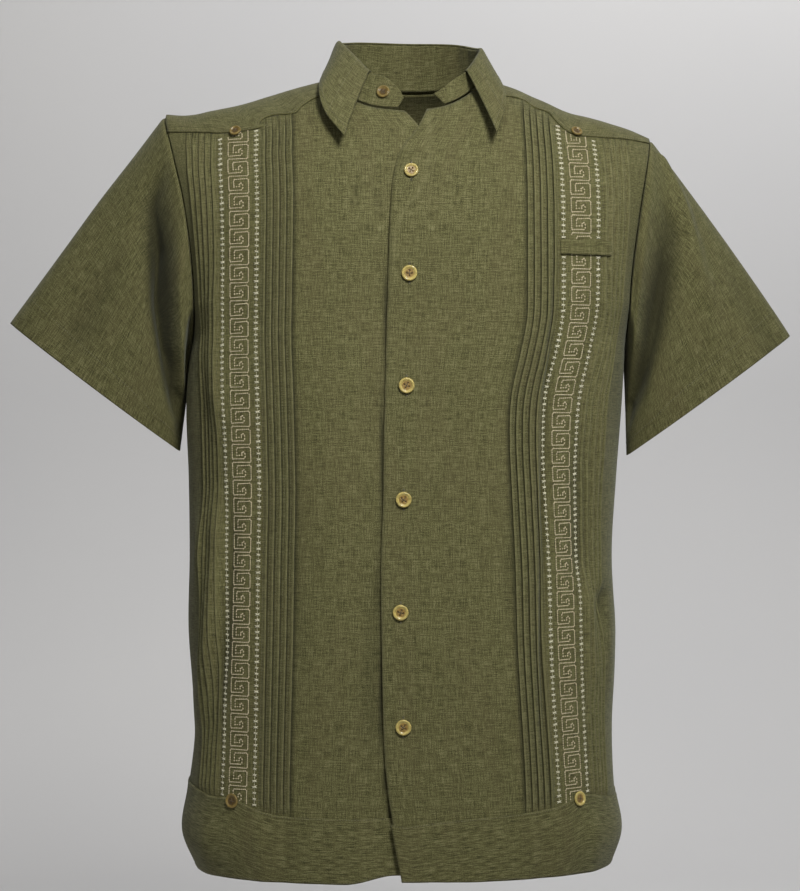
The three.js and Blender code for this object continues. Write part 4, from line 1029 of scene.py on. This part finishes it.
def lay_stitches(name, lines, thread, spacing, length, width, height, turn=0.0, wander=0.06, seed=1):
    """Lays stitches along lines, each a pair of points and outward directions in millimetres."""
    points = np.concatenate([p for p, _ in lines]) * MM
    outward = np.concatenate([n for _, n in lines])
    edges, start = [], 0
    for p, _ in lines:
        edges += [(k, k + 1) for k in range(start, start + len(p) - 1)]
        start += len(p)
    mesh = bpy.data.meshes.new(name)
    mesh.from_pydata(points.tolist(), edges, [])
    facing = mesh.attributes.new("outward", "FLOAT_VECTOR", "POINT")
    facing.data.foreach_set("vector", outward.astype(np.float32).reshape(-1))
    piece = bpy.data.objects.new(name, mesh)
    bpy.context.scene.collection.objects.link(piece)
    laid = piece.modifiers.new("Stitches", "NODES")
    laid.node_group = STITCHES
    keys = {item.name: item.identifier for item in STITCHES.interface.items_tree if item.in_out == "INPUT"}
    for label, value in (("Spacing", spacing * MM), ("Length", length * MM), ("Width", width * MM),
                         ("Height", height * MM), ("Turn", turn), ("Wander", wander),
                         ("Seed", seed), ("Thread", thread)):
        laid[keys[label]] = value
    plain = bpy.data.meshes.new_from_object(piece.evaluated_get(bpy.context.evaluated_depsgraph_get()))
    piece.modifiers.clear()
    piece.data = plain
    plain.name = name
    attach(piece, "root")
    return piece


def strip_line(side, places, heights, lift):
    spot, outward = front_at(side, column_at(side, places), heights)
    return spot + outward * lift, outward


def in_welt(side, place, height):
    return side > 0 and abs(height - WELT_Z) < WELT_HEIGHT / 2 + 1 and WELT_FROM < place < WELT_TO


def strip_ends(side, place):
    """Heights at which a line of the strip passes under the yoke and the hem band."""
    column = column_at(side, np.array([place]))
    x = front_at(side, column, np.array([-100.0]))[0][0, 0]
    top = by_side(side, YOKE_SEAM, abs(x), 1)
    x = front_at(side, column, np.array([-640.0]))[0][0, 0]
    return float(top) - 1.0, float(by_side(side, BAND_SEAM, abs(x), 1)) + 1.0


def key_lines(side):
    lines = []
    top, foot = strip_ends(side, 0.0)
    count = int((top - foot) / KEY_PITCH) + 2
    for k in range(count):
        for a, b in zip(KEY_LINE[:-1], KEY_LINE[1:]):
            places = side * (np.linspace(a[0], b[0], 5) - 0.5) * KEY_WIDTH
            heights = top + 6 - KEY_PITCH * (k + np.linspace(a[1], b[1], 5))
            middle = heights.mean()
            high, low = strip_ends(side, float(places.mean()))
            if middle > high - 1 or middle < low + 1 or in_welt(side, places.mean(), middle):
                continue
            lines.append(strip_line(side, places, heights, 0.25))
    return lines


def cross_lines(side, place):
    top, foot = strip_ends(side, place)
    heights = np.arange(top - 2, foot + 1, -2.0)
    parts, run = [], []
    for z in heights:
        if in_welt(side, place, z):
            if len(run) > 1:
                parts.append(run)
            run = []
        else:
            run.append(z)
    parts.append(run)
    return [strip_line(side, np.full(len(run), place), np.array(run), 0.35) for run in parts if len(run) > 1]


KEY_THREAD = thread_material("beige key thread", (0.74, 0.66, 0.46, 1), (0.42, 0.35, 0.21, 1))
CROSS_THREAD = thread_material("cream cross thread", (0.86, 0.84, 0.66, 1), (0.55, 0.52, 0.36, 1))
embroidery = {-1: [], 1: []}
for side, name in SIDES:
    embroidery[side].append(lay_stitches(
        "key_" + name, key_lines(side), KEY_THREAD, 1.75, 2.0, 1.15, 0.75, 0, 0.12, 11))
    rows = cross_lines(side, -CROSS_ROW) + cross_lines(side, CROSS_ROW)
    for way, turn in (("up", math.radians(68)), ("down", -math.radians(68))):
        embroidery[side].append(lay_stitches(
            "crosses_" + way + "_" + name, rows, CROSS_THREAD, 5.3, 5.4, 0.95, 1.0, turn, 0.15, 5))
    embroidery[side].append(lay_stitches(
        "cross_thread_" + name, rows, CROSS_THREAD, 2.0, 2.1, 0.45, 0.35, 0, 0.1, 8))

# ---- Seam stitches ----
# Fine olive thread: a row along the foot of every pin tuck, rows beside the yoke and band seams,
# round the collar's leaf and round the sleeve hems.
SEAM_THREAD = thread_material("olive seam thread", (0.21, 0.2, 0.115, 1), (0.09, 0.085, 0.045, 1))
SEAM_STITCH = (2.6, 1.9, 0.42, 0.3, 0, 0.05)  # spacing, length, width, height, turn, wander
TUCK_FOOT = 3.9  # from a tuck's folded edge back to the stitches that hold it
for side, name in SIDES:
    lines = []
    for k in range(TUCKS):
        for sign in (-1, 1):
            place = sign * (FIRST_TUCK + k * TUCK_PITCH - TUCK_FOOT)
            top, foot = strip_ends(side, place)
            heights = np.arange(top - 1, foot + 1, -4.0)
            column = column_at(side, np.full(len(heights), place))
            front = FRONTS[side]
            spot, outward = front_at(side, column, heights)
            share = (heights - foot) / (top - foot)
            row = (share * (FRONT_ROWS - 1)).astype(int).clip(0, FRONT_ROWS - 1)
            inside = ~front["clamped"][row, np.minimum(column.astype(int) + 3, len(front["place"]) - 1)]
            if inside.sum() > 3:
                first, last = np.flatnonzero(inside)[[0, -1]]
                lines.append((spot[first:last + 1] + outward[first:last + 1] * 0.1, outward[first:last + 1]))
    embroidery[side].append(lay_stitches(
        "tuck_stitches_" + name, lines, SEAM_THREAD, 2.6, 1.9, 0.4, 0.3, 0, 0.05, 3))


def row_line(grid, row, lift=0.2):
    """A line along a row of a grid of points, at a part number of rows."""
    i = min(int(row), grid.shape[0] - 2)
    t = row - i
    line = grid[i] * (1 - t) + grid[i + 1] * t
    out = unit(np.cross(np.gradient(grid, axis=1), np.gradient(grid, axis=0)))
    n = unit(out[i] * (1 - t) + out[i + 1] * t)
    if (n * (line * [1, 1, 0])).sum() < 0:
        n = -n
    return line + n * lift, n


def column_line(grid, column, lift=0.2):
    return row_line(np.swapaxes(grid, 0, 1), column, lift)


middle = yoke_points.shape[1] // 2
line, n = row_line(yoke_points, 0.8)
seam_rows = [(line[:middle - NECK_COLUMNS], n[:middle - NECK_COLUMNS]),
             (line[middle + NECK_COLUMNS:], n[middle + NECK_COLUMNS:]), row_line(yoke_points, 71.2)]
yoke_stitches = lay_stitches("yoke_stitches", seam_rows, SEAM_THREAD, *SEAM_STITCH, 21)

for side, name in SIDES:
    ring = SLEEVES[side][0][int((SLEEVE_ROWS - 1) * 0.88)]
    line = np.concatenate([ring, ring[:1]])
    n = unit(line - ring.mean(0))
    lay_stitches(
        "sleeve_hem_stitches_" + name, [(line + n * 0.15, n)], SEAM_THREAD, 2.8, 2.0, 0.42, 0.3, 0, 0.05, 31)
    lines = [row_line(BANDS[side], 0.6), row_line(BANDS[side], 28.2)]
    embroidery[side].append(lay_stitches("band_stitches_" + name, lines, SEAM_THREAD, *SEAM_STITCH, 41))
back_lines = [row_line(back_band, 0.8), row_line(back_band, 24.4)]
back_stitches = lay_stitches("back_band_stitches", back_lines, SEAM_THREAD, *SEAM_STITCH, 42)

leaf_rows, leaf_columns = fall_points.shape[:2]
leaf_lines = [row_line(fall_points, leaf_rows - 6.0), column_line(fall_points, 9.0),
              column_line(fall_points, leaf_columns - 10.0)]
leaf_stitches = lay_stitches("leaf_stitches", leaf_lines, SEAM_THREAD, 2.4, 1.8, 0.42, 0.3, 0, 0.05, 51)

# ---- The buttons ----
# Two-tone horn-look buttons: a round pale gold rim, a sunk brown centre with four holes, and a
# cross of dark thread. Those on the stand and the yoke and the right hem's are darker.


def button_material(name, rim, middle, rough):
    material, tree, shader = new_material(name)
    place = add_node(tree, "ShaderNodeUVMap", {"uv_map": "round"}).outputs[0]
    apart = add_node(tree, "ShaderNodeSeparateXYZ", {}, Vector=place)
    grain = noise(tree, add_node(tree, "ShaderNodeTexCoord").outputs["Object"], 320.0, 3.0)
    moved = add_node(tree, "ShaderNodeMath", {"operation": "MULTIPLY_ADD"}, i0=grain, i1=0.16,
                     i2=apart.outputs[0])
    tones = mixed_colour(tree, ranged(tree, moved.outputs[0], 0.6, 0.76), middle, rim)
    toned = add_node(tree, "ShaderNodeVectorMath", {"operation": "SCALE"}, i0=tones,
                     Scale=ranged(tree, grain, 0.35, 0.7, 0.78, 1.08))
    tree.links.new(toned.outputs[0], shader.inputs["Base Color"])
    shader.inputs["Roughness"].default_value = rough
    shader.inputs["Coat Weight"].default_value = 0.25
    return material


# radii of a button's holes and of the ring they lie on, as shares of its own
HOLE, HOLE_RING = 0.13, 0.235


def button_mesh(radius, centre, normal, turn):
    """A turned button in millimetres, its underside at centre, facing along normal."""
    hole, ring = HOLE * radius, HOLE_RING * radius
    rim = [0.62, 0.68, 0.74, 0.82, 0.9, 0.96, 1.0, 1.0, 0.95, 0.86]
    radii = np.concatenate([np.linspace(0, 0.58, 30), rim]) * radius
    lift = np.concatenate([np.full(30, 1.25), [1.32, 1.6, 1.95, 2.15, 2.1, 1.8, 1.3, 0.8, 0.25, 0.0]])
    angles = np.linspace(0, 2 * math.pi, 72, endpoint=False)
    r, a = np.meshgrid(radii, angles, indexing="ij")
    x, y = r * np.cos(a), r * np.sin(a)
    z = np.repeat(lift[:, None], len(angles), 1)
    for cx, cy in ((ring, ring), (-ring, ring), (ring, -ring), (-ring, -ring)):
        inside = np.hypot(x - cx, y - cy) < hole
        z = np.where(inside & (r < 0.6 * radius), 0.35, z)
    right = unit(np.cross([0.0, 0.0, 1.0], normal))
    up = np.cross(normal, right)
    right, up = right * math.cos(turn) + up * math.sin(turn), up * math.cos(turn) - right * math.sin(turn)
    grid = centre + x[..., None] * right + y[..., None] * up + z[..., None] * normal
    rows, columns = grid.shape[:2]
    number = np.arange(rows * columns).reshape(rows, columns)
    nxt = np.roll(number, -1, 1)
    quads = np.stack([number[:-1], number[1:], nxt[1:], nxt[:-1]], -1).reshape(-1, 4)
    faces = [list(q) for q in quads[columns:]]
    faces += [[0, number[1, k], nxt[1, k]] for k in range(columns)]
    faces.append(list(number[-1][::-1]))
    return grid.reshape(-1, 3), faces, (r / radius).reshape(-1), (right, up)


def add_button(name, radius, spot, normal, stand, material, turn):
    centre = spot + normal * stand
    points, faces, share, (right, up) = button_mesh(radius, centre, normal, turn)
    mesh = bpy.data.meshes.new(name)
    mesh.from_pydata((points * MM).tolist(), [], [list(map(int, f)) for f in faces])
    layer = mesh.uv_layers.new(name="round")
    for loop in mesh.loops:
        layer.data[loop.index].uv = (share[loop.vertex_index], 0.5)
    mesh.polygons.foreach_set("use_smooth", np.ones(len(mesh.polygons), bool))
    mesh.validate()
    piece = new_piece(name + "_horn", mesh, material)
    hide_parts(name)
    ring = HOLE_RING * radius
    lines = []
    for a, b in (((-ring, -ring), (ring, ring)), ((-ring, ring), (ring, -ring))):
        t = np.linspace(0, 1, 7)[:, None]
        plan = np.array(a) + (np.array(b) - np.array(a)) * t
        rise = 1.15 + 0.5 * np.sin(math.pi * t[:, 0])
        p = centre + plan[:, :1] * right + plan[:, 1:] * up + rise[:, None] * normal
        lines.append((p, np.repeat(normal[None], 7, 0)))
    return lines


def front_place(side, x, z):
    """Point and outward direction of a front at a place across and a height."""
    half = np.where(np.array([x]) < 0, -1, 1)

    def at(px, pz):
        level = level_for(half, np.array([abs(px)]), np.array([float(pz)]), False)
        point = body_point(half, np.array([abs(px)]), level, False)
        return (set_behind(point, half, level) if side < 0 else point)[0]

    across, rise = at(x + 5, z) - at(x - 5, z), at(x, z + 5) - at(x, z - 5)
    return at(x, z), unit(np.cross(across, rise))


GOLD = button_material("pale gold button", (0.56, 0.45, 0.14, 1), (0.31, 0.2, 0.055, 1), 0.32)
AMBER = button_material("amber button", (0.24, 0.17, 0.045, 1), (0.12, 0.075, 0.02, 1), 0.36)
BUTTON_THREAD = thread_material("brown button thread", (0.16, 0.12, 0.06, 1), (0.05, 0.035, 0.018, 1))
# name, radius, place across, height, turn
FRONT_BUTTONS = [
    ("button_front_1", 6.4, 4.5, -84, 0.2), ("button_front_2", 7, 2.8, -176.5, 0.75),
    ("button_front_3", 7, 0.3, -276.3, 0.3), ("button_front_4", 7, -2.3, -377.5, 0.1),
    ("button_front_5", 7, -5, -477.5, 0.5), ("button_front_6", 7, -2.6, -579, 0.2),
]
thread_lines = []
slit_lines = []
for name, radius, x, z, turn in FRONT_BUTTONS:
    spot, normal = front_place(1, x, z)
    thread_lines += add_button(name, radius, spot, normal, 0.9, GOLD, turn)
    up = unit(np.cross(normal, [1.0, 0, 0]))
    slit = spot + np.linspace(-9.5, 9.5, 9)[:, None] * up + normal * 0.25
    slit_lines.append((slit, np.repeat(normal[None], 9, 0)))
for side, name in SIDES:
    hem_horn = AMBER if side < 0 else GOLD
    for kind, radius, x, z, lift, horn, turn in (
            ("yoke", 5.4, 154.5, -45, YOKE_LIFT, AMBER, 0.4),
            ("hem", 6.6, 155.0, -648, BAND_LIFT, hem_horn, 0.6)):
        spot, normal = front_place(side, side * x, z)
        thread_lines += add_button(
            "button_" + kind + "_" + name, radius, spot, normal, lift + 0.6, horn, turn)
stand_turn = np.array([166.0, 168.0, 170.0])
foot, fold = stand_foot(-1, stand_turn), fold_point(-1, stand_turn)
stand_rows = [foot + (fold - foot) * s for s in (0.4, 0.5, 0.6)]
normal = unit(np.cross(stand_rows[1][2] - stand_rows[1][0], stand_rows[2][1] - stand_rows[0][1]))
if normal[1] > 0:
    normal = -normal
thread_lines += add_button("button_stand", 6.0, stand_rows[1][1], normal, 0.7, AMBER, 0.0)
lay_stitches("button_threads", thread_lines, BUTTON_THREAD, 0.9, 1.5, 0.75, 0.6, 0, 0.1, 61)
lay_stitches("buttonhole_stitches", slit_lines, SEAM_THREAD, 0.55, 2.1, 0.5, 0.45, math.pi / 2, 0.05, 62)

# ---- Studio ----
# A pale floor that curves up into a wall, a soft lamp above in front, weak ones at the side and
# front, one that washes the wall, and a camera level with the chest.
floor_mesh = bpy.data.meshes.new("studio")
FLOOR, BEND_START, BEND = -1.02, 1.6, 0.8
bend = [(BEND_START + BEND * math.sin(a), FLOOR + BEND - BEND * math.cos(a))
        for a in np.linspace(0.1, math.pi / 2, 12)]
profile = [(-3.5, FLOOR), (BEND_START, FLOOR)] + bend + [(BEND_START + BEND, 3.5)]
verts = [(x, y, z) for x in (-5.0, 5.0) for y, z in profile]
count = len(profile)
floor_mesh.from_pydata(verts, [], [(k, k + count, k + count + 1, k + 1) for k in range(count - 1)])
floor_mesh.polygons.foreach_set("use_smooth", np.ones(count - 1, bool))
studio = bpy.data.objects.new("studio", floor_mesh)
bpy.context.scene.collection.objects.link(studio)
wall_paint, wall_tree, wall_shader = new_material("pale wall")
mottle = noise(wall_tree, add_node(wall_tree, "ShaderNodeTexCoord").outputs["Object"], 1.2, 2.0)
wall_colour = mixed_colour(wall_tree, mottle, (0.6, 0.6, 0.61, 1), (0.66, 0.655, 0.65, 1))
wall_tree.links.new(wall_colour, wall_shader.inputs["Base Color"])
wall_shader.inputs["Roughness"].default_value = 0.9
floor_mesh.materials.append(wall_paint)


def area_light(name, place, target, size, power, colour, spread=180):
    light = bpy.data.lights.new(name, "AREA")
    light.shape = "RECTANGLE"
    light.size, light.size_y = size
    light.energy = power
    light.spread = math.radians(spread)
    light.color = colour
    lamp = bpy.data.objects.new(name, light)
    lamp.location = place
    way = np.array(target) - np.array(place)
    tilt = math.acos(-way[2] / np.linalg.norm(way))
    lamp.rotation_euler = (tilt, 0, math.atan2(way[1], way[0]) - math.pi / 2)
    bpy.context.scene.collection.objects.link(lamp)


area_light("key light", (0.45, -1.55, 0.9), (-0.03, -0.1, -0.27), (0.45, 0.45), 5.4, (1.0, 0.985, 0.95), 70)
area_light("side light", (2.2, 0.2, 0.1), (0, 0, -0.35), (1.0, 1.6), 4, (0.9, 0.95, 1.0))
area_light("fill light", (-0.7, -2.6, 0.4), (0, 0, -0.4), (1.6, 1.6), 5, (1.0, 0.97, 0.93))
area_light("wall light", (0.7, 0.75, 1.7), (0.3, 2.4, 0.8), (3.0, 0.6), 58, (1.0, 0.99, 0.98))
world = bpy.data.worlds.new("studio air")
world.use_nodes = True
world.node_tree.nodes["Background"].inputs["Color"].default_value = (0.93, 0.93, 0.92, 1)
world.node_tree.nodes["Background"].inputs["Strength"].default_value = 0.13
bpy.context.scene.world = world
bpy.context.scene.view_settings.view_transform = "Standard"

camera = bpy.data.objects.new("camera", bpy.data.cameras.new("camera"))
camera.data.sensor_width = 36
camera.data.lens = 94.56
camera.location = (-0.0056, -2.2, -0.3295)
camera.rotation_euler = (math.pi / 2, 0, 0)
bpy.context.scene.collection.objects.link(camera)
bpy.context.scene.camera = camera
